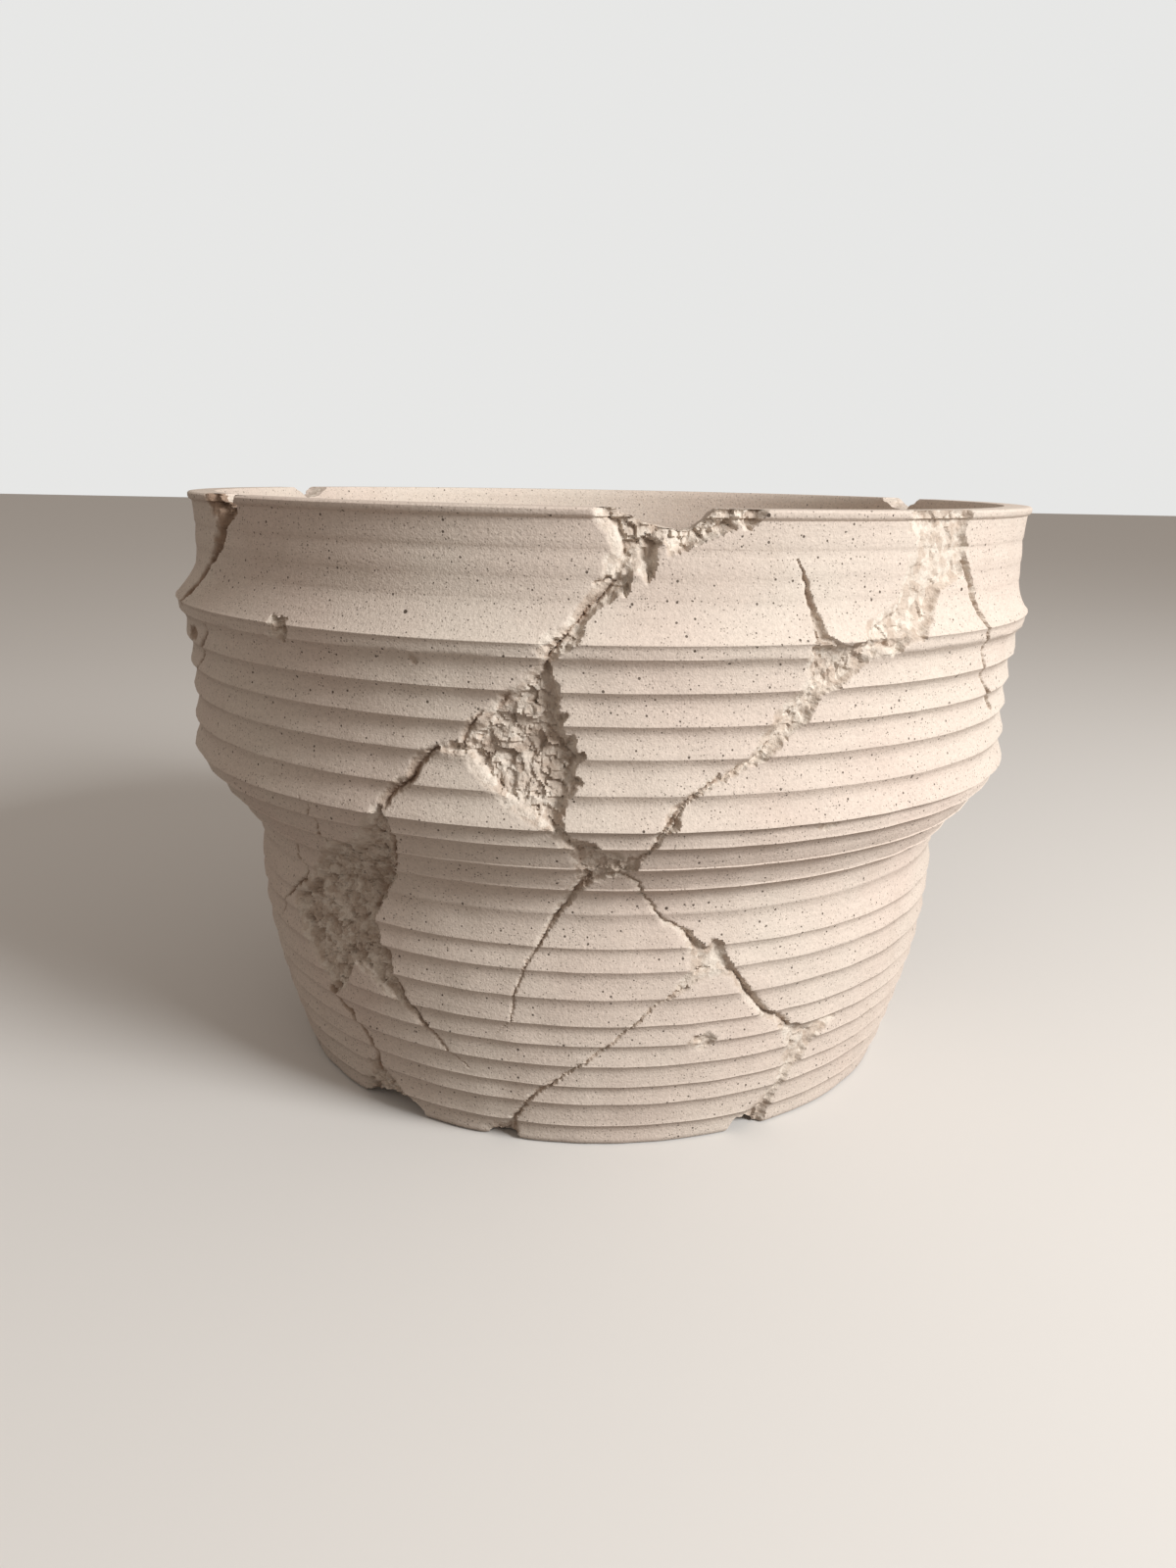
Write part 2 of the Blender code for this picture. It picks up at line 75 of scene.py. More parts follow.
NECK, SHOULDER, RIDGE, LIP = (float(EDGES[row]) for row in (NECK_ROW, SHOULDER_ROW, RIDGE_ROW, LIP_ROW))


def height_at(row):
    """Height of a row, also a little above the rim or under the foot."""
    if row > LIP_ROW + 1:
        return POT_HEIGHT + (row - LIP_ROW - 1) * LIP_HEIGHT
    if row < 0:
        return row * BOWL_BANDS[0]
    return float(np.interp(row, range(len(EDGES)), EDGES))


print("Rows:", len(EDGES) - 1, "- ridge at", round(RIDGE, 4), "m, rim at", round(float(EDGES[-1]), 4), "m")

# %% [markdown]
# The skin is the smooth curve through the proud edges. A bowl swells from the foot to a neck, a
# shoulder overhangs the neck, the belly is slightly hollow up to the ridge, and a waisted collar
# ends in the lip. The turner's tool left three faint steps on the collar, which was set down a
# little askew, so it leans toward +X. Plain functions of the height give all of this, so one
# formula serves the wall, its ribs and its damage.

# %% The skin's radius at any height
FOOT_RADIUS, NECK_RADIUS, SWELL_HEIGHT = 0.0918, 0.1038, 0.060
BELLY_RADIUS, RIDGE_RADIUS, HOLLOW_SHARE = 0.1200, 0.1234, 0.33
WAIST_RADIUS, RIM_RADIUS = 0.1188, 0.1202
SHOULDER_STEP, LIP_UNDERCUT = 0.0003, 0.0009
FLARE_HEIGHT, CAVETTO_HEIGHT, COLLAR_LEAN = 0.0110, 0.0070, 0.0016
TURNED_STEPS = ((0.1548, 0.00034), (0.1488, 0.00020), (0.1441, 0.00018))
STEP_FADE, STEP_EDGE = 0.0042, 0.24
WALL, FLOOR, DRAIN_RADIUS = 0.007, 0.009, 0.008


def eased(share):
    share = np.clip(share, 0.0, 1.0)
    return share * share * (3 - 2 * share)


def belly(height):
    hollow = SHOULDER + (RIDGE - SHOULDER) * HOLLOW_SHARE
    reach = (height - hollow) / (RIDGE - hollow)
    return BELLY_RADIUS + (RIDGE_RADIUS - BELLY_RADIUS) * reach * reach


def skin(height):
    """Radius of the proud edges, at one height or at an array of them."""
    height = np.asarray(height, dtype=float)
    swell = np.clip(height / SWELL_HEIGHT, 0.0, 1.0)
    bowl = FOOT_RADIUS + (NECK_RADIUS - FOOT_RADIUS) * np.sin(swell * math.pi / 2)
    share = np.clip((height - NECK) / (SHOULDER - NECK), 0.0, 1.0)
    shoulder = NECK_RADIUS + (belly(SHOULDER) - SHOULDER_STEP - NECK_RADIUS) * (share + eased(share)) / 2
    flare = np.clip(1 - (height - RIDGE) / FLARE_HEIGHT, 0.0, 1.0)
    rise = np.clip(1 - (LIP - height) / CAVETTO_HEIGHT, 0.0, 1.0)
    collar = WAIST_RADIUS + (RIDGE_RADIUS - WAIST_RADIUS) * flare ** 2
    collar = collar + (RIM_RADIUS - LIP_UNDERCUT - WAIST_RADIUS) * rise ** 2
    for step, dip in TURNED_STEPS:
        below = np.clip((step - height) / STEP_FADE, 0.0, 1.0)
        collar = collar - dip * eased(below / STEP_EDGE) * (1 - eased(below))
    radius = np.where(height < NECK, bowl, shoulder)
    radius = np.where(height >= SHOULDER, belly(height), radius)
    return np.where(height >= RIDGE, collar, radius)


def lean(height):
    return COLLAR_LEAN * eased((np.asarray(height, dtype=float) - RIDGE) / FLARE_HEIGHT)


print("Skin radius at foot, neck and ridge:", [round(float(skin(z)), 4) for z in (0, NECK, RIDGE)])

# %% [markdown]
# A spin makes a turned wall from half of its section. The section is drawn the way a hand would
# draw it: one point is extruded from place to place, down the outside, across the foot and up
# the inside. Each rib takes eight points, because the light catches its worn edge, the soft
# undercut below it and the sloping band. The shape of one rib is a short list that all share.

# %% One rib, and the outline of the section
GROOVES = {"bowl": 0.0009, "shoulder": 0.0016, "belly": 0.0012, "ridge": 0.0003}
RIB = ((0.05, 0.05), (0.0, 0.0), (0.24, -0.05), (0.62, -0.13), (0.92, -0.24), (1.0, -0.36), (0.82, -0.53),
       (0.44, -0.76))
LIP_TOP = ((0.0012, 0.0), (0.0004, 0.0001), (0.0, 0.0005))
LIP_UNDER = ((0.0, 0.0003), (0.0003, -0.0001))
FOOT_EDGE = ((0.0, 0.0008), (0.0006, 0.0))
COLLAR_HEIGHTS = (0.1603, 0.1593, 0.1578, 0.1562, 0.1549, 0.1543, 0.1538, 0.1526, 0.1508, 0.1489, 0.1483,
                  0.1478, 0.1458, 0.1442, 0.1436, 0.1431, 0.1414, 0.1400, 0.1387, 0.1374, 0.1362, 0.1352)


def groove_at(row):
    """How deep the groove below a rib is."""
    if row <= NECK_ROW:
        return GROOVES["bowl"]
    if row == RIDGE_ROW:
        return GROOVES["ridge"]
    return GROOVES["shoulder"] if row < SHOULDER_ROW else GROOVES["belly"]


def rib_points(row):
    """The outside of one rib, from its worn edge down to the middle of its sloping band."""
    edge, band = float(EDGES[row]), float(EDGES[row] - EDGES[row - 1])
    points = []
    for depth_share, rise_share in RIB:
        height = edge + rise_share * band
        points.append((float(skin(min(height, edge))) - depth_share * groove_at(row), height))
    return points


def outside_points():
    """Down the outside: the lip, the collar, the ribs and the foot's edge."""
    points = [(RIM_RADIUS - inset, POT_HEIGHT - drop) for inset, drop in LIP_TOP]
    points += [(RIM_RADIUS - inset, LIP + rise) for inset, rise in LIP_UNDER]
    points += [(float(skin(height)), height) for height in COLLAR_HEIGHTS]
    for row in range(RIDGE_ROW, 0, -1):
        points += rib_points(row)
    return points + [(FOOT_RADIUS - inset, height) for inset, height in FOOT_EDGE]


outside = outside_points()
print("The outside has", len(outside), "points for", RIDGE_ROW, "ribs and the collar")

# %% The foot, the drain hole and the inside
CORNER, CORNER_STEPS = 0.010, 4
UNDERSIDE_RINGS, FLOOR_RING = (0.072, 0.045), 0.040
DRAIN_EDGES = ((0.0006, 0.0), (0.0, 0.0008), (0.0, FLOOR - 0.0008), (0.0008, FLOOR))
WALL_FROM, WALL_TO, WALL_POINTS = FLOOR + CORNER + 0.008, POT_HEIGHT - 0.003, 18
INNER_LIP = ((0.0001, 0.0007), (0.0007, 0.0))


def inside_points():
    """Across the underside, up through the drain hole, over the floor and up the inside."""
    points = [(radius, 0.0) for radius in UNDERSIDE_RINGS]
    points += [(DRAIN_RADIUS + wider, height) for wider, height in DRAIN_EDGES] + [(FLOOR_RING, FLOOR)]
    top = FLOOR + CORNER
    wall = float(skin(top)) - WALL
    for step in range(CORNER_STEPS + 1):
        turn = math.radians(90 / CORNER_STEPS * step)
        points.append((wall - CORNER + CORNER * math.sin(turn), top - CORNER * math.cos(turn)))
    for height in np.linspace(WALL_FROM, WALL_TO, WALL_POINTS):
        points.append((float(skin(height)) - WALL, float(height)))
    thin = float(skin(POT_HEIGHT)) - WALL
    return points + [(thin + wider, POT_HEIGHT - drop) for wider, drop in INNER_LIP]


section = outside + inside_points()
print("The section has", len(section), "points in all")

# %% [markdown]
# The front carries the damage, so it is spun in fine steps, and the back in coarser ones. Both
# spins start from the same section and end on the same two meridians, where their doubles merge.

# %% Draw the section and spin it round
FRONT_FROM, FRONT_TO = -66.0, 62.0
FRONT_STEP, BACK_STEP = 1.28, 3.625


def start_fresh():
    """Leave edit mode and let go of every object."""
    if bpy.context.object and bpy.context.object.mode != "OBJECT":
        bpy.ops.object.mode_set(mode="OBJECT")
    bpy.ops.object.select_all(action="DESELECT")


def take(piece):
    """Make this piece the only one selected, and the active one."""
    start_fresh()
    piece.select_set(True)
    bpy.context.view_layer.objects.active = piece


def draw_section(name, angle):
    """Extrude one point along the section, standing in the plane at an angle from the front."""
    start_fresh()
    bpy.ops.mesh.primitive_plane_add(size=0.001)
    drawn = bpy.context.object
    drawn.name = name
    bpy.ops.object.mode_set(mode="EDIT")
    bpy.ops.mesh.merge(type="CENTER")
    way = Vector((math.sin(math.radians(angle)), -math.cos(math.radians(angle)), 0.0))
    places = [way * radius + Vector((0.0, 0.0, height)) for radius, height in section]
    bpy.ops.transform.translate(value=places[0])
    for here, there in zip(places, places[1:]):
        bpy.ops.mesh.extrude_vertices_move(TRANSFORM_OT_translate={"value": there - here})
    bpy.ops.mesh.select_all(action="SELECT")
    bpy.ops.mesh.edge_face_add()
    bpy.ops.mesh.delete(type="ONLY_FACE")
    return drawn


def spin_wall(name, start, end, step):
    """Spin the section round the pot's axis from one angle to another."""
    drawn = draw_section(name, start)
    steps = round((end - start) / step)
    bpy.ops.mesh.select_all(action="SELECT")
    bpy.ops.mesh.spin(steps=steps, angle=math.radians(start - end), center=(0, 0, 0), axis=(0, 0, 1))
    bpy.ops.object.mode_set(mode="OBJECT")
    return drawn


front = spin_wall("pot_clay", FRONT_FROM, FRONT_TO, FRONT_STEP)
back = spin_wall("pot_back", FRONT_TO, FRONT_FROM + 360, BACK_STEP)
take(front)
back.select_set(True)
bpy.ops.object.join()
pot = front
print("Spun", len(pot.data.polygons), "faces, across", [round(size, 4) for size in pot.dimensions])

# %% [markdown]
# The two spins meet on two meridians, so their double points are merged there and the normals
# are turned outward while the wall is still one plain closed shell. The turner's hand wasn't
# quite steady, so the ribs below the ridge are pressed in a little here and there. Then the
# collar is moved over to its lean.

# %% Close the wall and lean the collar
MERGE = 0.00002
WEAR, WEAR_SIZE, WORN_SHARE = 0.0004, 0.009, 0.3
MARGIN = 0.0002


def close_up(piece):
    """Merge double points and point every face outward, as on any closed shell."""
    take(piece)
    bpy.ops.object.mode_set(mode="EDIT")
    bpy.ops.mesh.select_all(action="SELECT")
    bpy.ops.mesh.remove_doubles(threshold=MERGE)
    bpy.ops.mesh.normals_make_consistent(inside=False)
    bpy.ops.object.mode_set(mode="OBJECT")


def points_of(piece):
    spots = np.empty(len(piece.data.vertices) * 3)
    piece.data.vertices.foreach_get("co", spots)
    return spots.reshape(-1, 3)


def put_points(piece, spots):
    piece.data.vertices.foreach_set("co", spots.ravel())
    piece.data.update()


def noise_at(spots, size, shift=0.0):
    """Smooth noise between about -0.5 and 0.5, in lumps of a size, at each place."""
    scaled = spots / size + shift
    return np.array([noise.noise(Vector(spot)) for spot in scaled])


def open_edges(piece):
    """How many edges don't lie between exactly two faces."""
    uses = np.empty(len(piece.data.loops), dtype=int)
    piece.data.loops.foreach_get("edge_index", uses)
    return int((np.bincount(uses, minlength=len(piece.data.edges)) != 2).sum())


close_up(pot)
spots = points_of(pot)
radii = np.hypot(spots[:, 0], spots[:, 1])
worn = WEAR * np.clip(noise_at(spots, WEAR_SIZE) + WORN_SHARE, 0.0, 1.0)
worn *= (radii > skin(spots[:, 2]) - WALL / 2) & (spots[:, 2] < EDGES[RIDGE_ROW - 1] + MARGIN)
spots[:, :2] *= (1 - worn / radii)[:, None]
spots[:, 0] += lean(spots[:, 2])
put_points(pot, spots)
print("The wall has", len(pot.data.polygons), "faces and", open_edges(pot), "open edges")

# %% [markdown]
# Where a piece is gone from the rim or from the foot's edge, it is cut away with a Boolean. Each
# cutter is a disc whose corners are put on the break's outline, extruded into or through the
# wall, divided finely and roughened, so that the broken section it leaves is as rough as fired
# clay. Wall and cutters are closed shells, so the quick Manifold solver can do it.

# %% The outlines of the pieces that are gone
BITES = {
    "rim_notch": (
        (0.0, 22.8), (0.5, 21.7), (1.5, 21.02), (3.0, 20.96), (4.0, 20.93), (5.0, 20.91), (6.5, 20.88),
        (8.0, 20.9), (9.0, 20.97), (9.5, 21.1), (10.1, 21.9), (10.5, 22.8)),
    "left_rim_chip": (
        (-55.6, 22.8), (-54.6, 21.4), (-53.5, 20.97), (-52.0, 20.93), (-50.8, 20.97), (-50.0, 21.6),
        (-49.6, 22.8)),
    "far_left_chip": (
        (-121.4, 22.8), (-119.8, 21.4), (-118.2, 20.95), (-115.4, 20.93), (-113.6, 21.2), (-111.8, 22.8)),
    "far_right_chip": (
        (111.8, 22.8), (113.4, 21.1), (115.4, 20.92), (118.2, 20.95), (120.2, 21.3), (122.0, 22.8)),
    "foot_notch_left": (
        (-44.6, -0.5), (-43.4, 0.12), (-41.0, 0.3), (-38.7, 0.5), (-35.8, 0.58), (-33.3, 0.68),
        (-31.6, 0.62), (-30.2, 0.3), (-29.4, -0.5)),
    "foot_notch_right": (
        (22.6, -0.5), (23.6, 0.25), (25.0, 0.66), (27.0, 0.48), (28.8, 0.2), (29.9, -0.5)),
    "foot_chip": (
        (-18.8, -0.5), (-17.0, 0.16), (-15.0, 0.3), (-13.6, 0.4), (-12.8, 0.2), (-12.4, -0.5)),
}
BITE_DEPTHS = {"foot_notch_left": 0.0085, "foot_notch_right": 0.0080, "foot_chip": 0.0045}
THROUGH = 0.015
print("Pieces gone:", ", ".join(BITES))

# %% Make a rough cutter
CUT_REACH = 0.006
CUTTER_EDGE, CUTTER_ROUNDS = 0.0011, 4
CUTTER_LUMPS = ((0.0006, 0.0026, 7.3), (0.0002, 0.0009, 3.1))


def off_wall(angle, height, gap):
    """A point at an angle and a height, this far outside the skin."""
    turn = math.radians(angle)
    radius = float(skin(np.clip(height, 0.0, LIP))) + gap
    return Vector((radius * math.sin(turn) + float(lean(height)), -radius * math.cos(turn), height))


def edge_lengths(piece):
    """The two points of each edge, and its length."""
    ends = np.empty(len(piece.data.edges) * 2, dtype=int)
    piece.data.edges.foreach_get("vertices", ends)
    ends = ends.reshape(-1, 2)
    spots = points_of(piece)
    return ends, np.linalg.norm(spots[ends[:, 0]] - spots[ends[:, 1]], axis=1)


def pick(piece, kind, wanted):
    """Select the wanted edges or polygons of a piece, and nothing else on it."""
    take(piece)
    bpy.context.tool_settings.mesh_select_mode = (False, kind == "edges", kind == "polygons")
    for each in ("vertices", "edges", "polygons"):
        flags = getattr(piece.data, each)
        flags.foreach_set("select", wanted if each == kind else np.zeros(len(flags), dtype=bool))


def split_edges(piece, wanted):
    """Cut the wanted edges in half, and the faces between them."""
    pick(piece, "edges", wanted)
    bpy.ops.object.mode_set(mode="EDIT")
    bpy.ops.mesh.subdivide(number_cuts=1, ngon=False)
    bpy.ops.object.mode_set(mode="OBJECT")


def bite_cutter(name, outline):
    """A rough block with the outline of a missing piece, standing in the wall."""
    start_fresh()
    bpy.ops.mesh.primitive_circle_add(vertices=len(outline), fill_type="NGON")
    cutter = bpy.context.object
    cutter.name = name
    corners = [off_wall(angle, height_at(row), CUT_REACH) for angle, row in outline]
    put_points(cutter, np.array(corners))
    inward = -Vector((corners[0] + corners[-1])[:2]).to_3d().normalized()
    reach = CUT_REACH + BITE_DEPTHS.get(name, THROUGH)
    bpy.ops.object.mode_set(mode="EDIT")
    bpy.ops.mesh.select_all(action="SELECT")
    bpy.ops.mesh.extrude_region_move(TRANSFORM_OT_translate={"value": inward * reach})
    bpy.ops.mesh.select_all(action="SELECT")
    bpy.ops.mesh.quads_convert_to_tris()
    bpy.ops.object.mode_set(mode="OBJECT")
    for _ in range(CUTTER_ROUNDS):
        split_edges(cutter, edge_lengths(cutter)[1] > CUTTER_EDGE)
    close_up(cutter)
    spots = points_of(cutter)
    for axis in range(3):
        for height, size, shift in CUTTER_LUMPS:
            spots[:, axis] += height * noise_at(spots, size, shift * axis)
    put_points(cutter, spots)
    return cutter


cutters = [bite_cutter(name, outline) for name, outline in BITES.items()]
print("Cutters:", {cutter.name: len(cutter.data.polygons) for cutter in cutters})

# %% Bite the pieces out of the wall
for cutter in cutters:
    cut = pot.modifiers.new(cutter.name, "BOOLEAN")
    cut.operation = "DIFFERENCE"
    cut.solver = "MANIFOLD"
    cut.object = cutter
    take(pot)
    bpy.ops.object.modifier_apply(modifier=cut.name)
    bpy.data.objects.remove(cutter)


def split_many_sided(piece):
    """A Boolean leaves faces of many sides, which are cut into triangles before they are divided."""
    sides = np.empty(len(piece.data.polygons), dtype=int)
    piece.data.polygons.foreach_get("loop_total", sides)
    pick(piece, "polygons", sides > 4)
    bpy.ops.object.mode_set(mode="EDIT")
    bpy.ops.mesh.quads_convert_to_tris()
    bpy.ops.object.mode_set(mode="OBJECT")
    return int((sides > 4).sum())


print("Cut", split_many_sided(pot), "many-sided faces; open edges:", open_edges(pot))

# %% [markdown]
# The front has burst. Its patches are read rib by rib as outlines of angle and row, each with
# its depth at some rows. A patch falls away steeply on its right and leaves a broad smooth bevel
# on its left, so the slope of its side comes from the way that the side faces, and no side needs
# a slope of its own.

# %% Patches where the skin has burst off
BURSTS = {
    "main_burst": (((22.4, 0.0036), (20.8, 0.0034), (20.4, 0.0026), (19.5, 0.0026), (18.4, 0.0032),
                    (16.4, 0.0042), (15.0, 0.004), (14.0, 0.003), (13.0, 0.0032), (12.0, 0.0032),
                    (11.2, 0.0024)), (
        (-2.1, 22.6), (-2.0, 20.93), (-1.0, 20.87), (-0.4, 20.73), (-1.1, 20.7), (-1.3, 20.54),
        (-2.4, 20.44), (-2.9, 20.35), (-3.9, 20.24), (-4.3, 20.16), (-5.6, 20.1), (-6.8, 20.03),
        (-6.9, 19.6), (-6.7, 19.1), (-6.3, 18.95), (-7.9, 18.58), (-8.4, 18.35), (-9.8, 18.12),
        (-10.7, 17.88), (-12.1, 17.45), (-13.1, 17.1), (-13.8, 16.88), (-14.3, 16.63), (-14.7, 16.32),
        (-16.3, 16.38), (-17.8, 16.15), (-18.8, 16.02), (-17.6, 15.95), (-16.3, 15.77), (-14.8, 15.75),
        (-14.2, 15.5), (-13.1, 15.25), (-12.0, 15.0), (-11.1, 14.73), (-9.8, 14.45), (-8.4, 14.23),
        (-6.9, 14.05), (-5.8, 13.8), (-4.8, 13.3), (-3.9, 12.75), (-3.2, 12.1), (-2.7, 11.35),
        (-1.2, 11.3), (1.0, 11.65), (2.8, 11.75), (4.4, 11.95), (5.1, 12.6), (3.1, 12.5), (2.2, 12.8),
        (0.9, 12.86), (-0.7, 13.34), (-2.1, 13.46), (-3.2, 13.62), (-3.7, 14.02), (-4.0, 14.33),
        (-3.5, 14.42), (-3.6, 14.57), (-3.5, 14.88), (-2.7, 15.07), (-1.7, 15.34), (-2.7, 15.58),
        (-2.6, 15.83), (-1.4, 16.02), (-1.6, 16.13), (-2.4, 16.28), (-2.9, 16.7), (-3.8, 16.67),
        (-4.1, 16.97), (-3.4, 17.3), (-3.6, 17.4), (-4.4, 17.37), (-4.3, 17.8), (-4.5, 18.25),
        (-5.05, 18.48), (-5.2, 18.87), (-4.4, 19.1), (-3.4, 19.6), (-2.6, 20.0), (-2.1, 20.07),
        (-2.1, 20.18), (-1.3, 20.25), (-0.4, 20.31), (0.6, 20.38), (1.3, 20.36), (1.8, 20.41),
        (2.2, 20.56), (2.8, 20.52), (3.6, 20.47), (4.0, 20.51), (4.3, 20.61), (4.3, 20.74), (5.1, 20.8),
        (5.3, 20.7), (6.4, 20.7), (8.4, 20.78), (10.3, 20.84), (11.5, 20.88), (12.6, 20.92),
        (13.5, 20.89), (15.1, 21.0), (16.2, 22.6))),
    "right_burst": (((22.4, 0.0022), (20.8, 0.0018), (20.4, 0.0016), (20.1, 0.0022), (19.4, 0.003),
                     (18.4, 0.0034), (17.0, 0.0032), (16.0, 0.0028), (15.0, 0.0026), (14.2, 0.0028),
                     (12.6, 0.0024)), (
        (33.0, 22.6), (33.3, 20.88), (34.5, 20.84), (34.9, 20.7), (33.2, 20.62), (33.0, 20.46),
        (32.2, 20.3), (30.0, 20.23), (28.3, 20.16), (27.3, 19.9), (25.8, 19.7), (24.4, 19.86),
        (22.2, 19.9), (21.5, 19.8), (21.0, 19.05), (20.9, 18.8), (21.3, 18.55), (20.7, 18.1),
        (19.3, 17.65), (18.2, 17.45), (17.9, 17.15), (17.0, 16.8), (15.7, 16.1), (12.6, 15.5),
        (11.5, 15.3), (10.4, 15.1), (9.6, 14.85), (8.5, 14.65), (7.7, 14.4), (6.7, 14.0), (5.7, 13.2),
        (4.8, 12.65), (3.6, 12.4), (4.6, 12.35), (5.8, 12.75), (6.4, 13.2), (7.2, 13.85), (8.4, 14.05),
        (8.7, 14.57), (10.1, 14.95), (11.7, 15.15), (13.6, 15.4), (15.9, 15.7), (17.7, 15.85),
        (20.2, 16.5), (21.1, 16.75), (22.5, 17.05), (22.7, 17.25), (24.1, 17.85), (25.8, 18.05),
        (27.7, 18.4), (29.4, 18.8), (32.6, 18.85), (34.0, 19.5), (36.2, 19.7), (38.0, 20.1),
        (39.4, 20.28), (40.0, 20.38), (44.4, 20.48), (44.1, 20.6), (44.7, 20.75), (43.6, 20.87),
        (44.1, 22.6))),
    "left_burst": (((14.4, 0.003), (13.0, 0.0042), (11.0, 0.0048), (8.5, 0.005), (7.0, 0.0042),
                    (6.0, 0.003)), (
        (-24.3, 14.4), (-24.9, 14.2), (-26.0, 14.02), (-27.5, 13.6), (-29.0, 12.95), (-31.5, 12.25),
        (-33.5, 11.8), (-35.5, 11.95), (-37.5, 11.8), (-39.0, 11.4), (-43.5, 10.6), (-46.2, 10.0),
        (-49.0, 9.4), (-53.3, 8.6), (-52.4, 7.83), (-52.0, 7.3), (-50.3, 6.9), (-49.0, 6.35),
        (-47.0, 6.0), (-46.0, 5.65), (-44.5, 4.95), (-43.5, 5.05), (-41.4, 5.5), (-39.9, 6.0),
        (-38.0, 6.8), (-37.0, 6.65), (-34.8, 6.45), (-32.8, 6.05), (-30.9, 5.9), (-29.2, 5.55),
        (-27.2, 5.7), (-28.8, 6.0), (-29.8, 6.5), (-30.2, 7.37), (-30.4, 7.8), (-31.6, 8.0),
        (-32.1, 8.42), (-32.8, 8.97), (-31.0, 9.7), (-29.9, 10.05), (-27.9, 10.7), (-27.1, 11.15),
        (-26.0, 11.78), (-24.8, 12.72), (-24.0, 13.9))),
    "low_burst": (((9.7, 0.0016), (9.0, 0.0026), (8.0, 0.0026), (7.0, 0.0016)), (
        (9.9, 9.75), (12.0, 9.5), (13.8, 9.2), (15.0, 8.95), (15.4, 9.2), (17.2, 9.1), (17.9, 8.6),
        (19.2, 7.9), (20.2, 7.6), (18.2, 7.6), (15.1, 7.5), (12.2, 7.35), (10.1, 7.0), (11.4, 7.7),
        (12.2, 8.0), (12.4, 8.5), (11.9, 9.0), (10.9, 9.4))),
    "right_foot_burst": (((5.2, 0.0018), (4.4, 0.0026), (3.0, 0.0022), (1.6, 0.002), (0.4, 0.003)), (
        (27.4, 5.2), (30.0, 5.2), (32.5, 4.95), (34.5, 4.85), (39.0, 4.9), (40.6, 4.85), (40.3, 4.5),
        (38.5, 4.3), (36.9, 4.0), (35.3, 3.35), (34.0, 2.75), (32.6, 2.1), (31.7, 1.65), (30.8, 0.9),
        (30.2, -0.4), (23.0, -0.4), (24.6, 0.65), (25.5, 0.97), (27.5, 1.35), (29.1, 1.75), (30.0, 2.1),
        (30.0, 3.2), (29.9, 4.0), (29.1, 4.55))),
    "left_foot_burst": (((2.2, 0.0018), (1.4, 0.0026), (0.2, 0.0036)), (
        (-40.0, 2.0), (-40.6, 1.5), (-43.0, 0.9), (-44.8, -0.4), (-29.8, -0.4), (-32.5, 0.9),
        (-33.8, 1.3), (-36.0, 1.7), (-36.5, 2.2))),
    "foot_burst": (((1.2, 0.0016), (0.2, 0.003)), (
        (-18.5, 0.5), (-16.0, 0.8), (-13.5, 1.1), (-12.3, 1.2), (-12.2, 0.5), (-12.0, -0.4),
        (-18.8, -0.4))),
    "bowl_chip": (((5.0, 0.0018),), (
        (12.9, 4.95), (14.1, 5.3), (16.4, 5.45), (17.8, 5.1), (17.3, 4.75), (16.1, 4.55), (14.4, 4.55))),
    "ridge_chip": (((20.0, 0.0024), (19.0, 0.002)), (
        (-38.4, 20.08), (-35.8, 20.05), (-35.5, 19.7), (-35.7, 19.1), (-37.0, 18.75), (-38.0, 18.85),
        (-39.5, 19.0), (-38.7, 19.8))),
    "left_rim_burst": (((22.4, 0.004), (20.8, 0.0034), (20.5, 0.0024)), (
        (-57.4, 22.6), (-57.0, 20.9), (-55.4, 20.83), (-55.0, 20.74), (-57.2, 20.66), (-56.2, 20.58),
        (-57.8, 20.49), (-58.9, 20.43), (-56.9, 20.42), (-55.4, 20.5), (-53.5, 20.55), (-52.3, 20.63),
        (-51.8, 20.75), (-50.0, 20.84), (-48.3, 20.9), (-47.6, 22.6))),
    "left_nick": (((18.3, 0.0026),), (
        (-66.0, 18.1), (-65.0, 18.5), (-61.0, 18.62), (-59.6, 18.4), (-60.6, 18.12), (-63.5, 17.95))),
    "tapered_facet": (((20.4, 0.0014), (20.2, 0.0024), (19.9, 0.003)), (
        (20.55, 20.45), (20.7, 20.32), (21.1, 20.25), (21.5, 20.17), (21.7, 20.09), (21.6, 19.9),
        (22.4, 19.84), (25.0, 19.8), (24.8, 20.0), (23.9, 20.04), (23.2, 20.08), (22.9, 20.13),
        (22.5, 20.2), (22.0, 20.26), (21.6, 20.31), (21.1, 20.39))),
    "back_right_burst": (((22.4, 0.0044), (20.6, 0.0028)), (
        (151.0, 22.6), (151.6, 21.0), (152.6, 20.7), (154.6, 20.5), (156.2, 20.75), (157.2, 21.0),
        (158.0, 22.6))),
    "shoulder_pit": (((13.7, 0.0022),), (
        (24.4, 13.6), (25.4, 13.82), (26.8, 13.9), (27.9, 13.78), (27.2, 13.52), (26.0, 13.38),
        (24.8, 13.42))),
    "ridge_nick": (((18.7, 0.0016),), (
        (-20.6, 18.85), (-19.5, 18.9), (-19.2, 18.65), (-20.1, 18.5))),
}
print("Bursts:", len(BURSTS), "with", sum(len(outline) for _, outline in BURSTS.values()), "corners")

# %% [markdown]
# The cracks are lines of angle, row and width. Like the patches, a crack is sheer on its right
# and leans back on its left, where the edge has crumbled to a bevel.

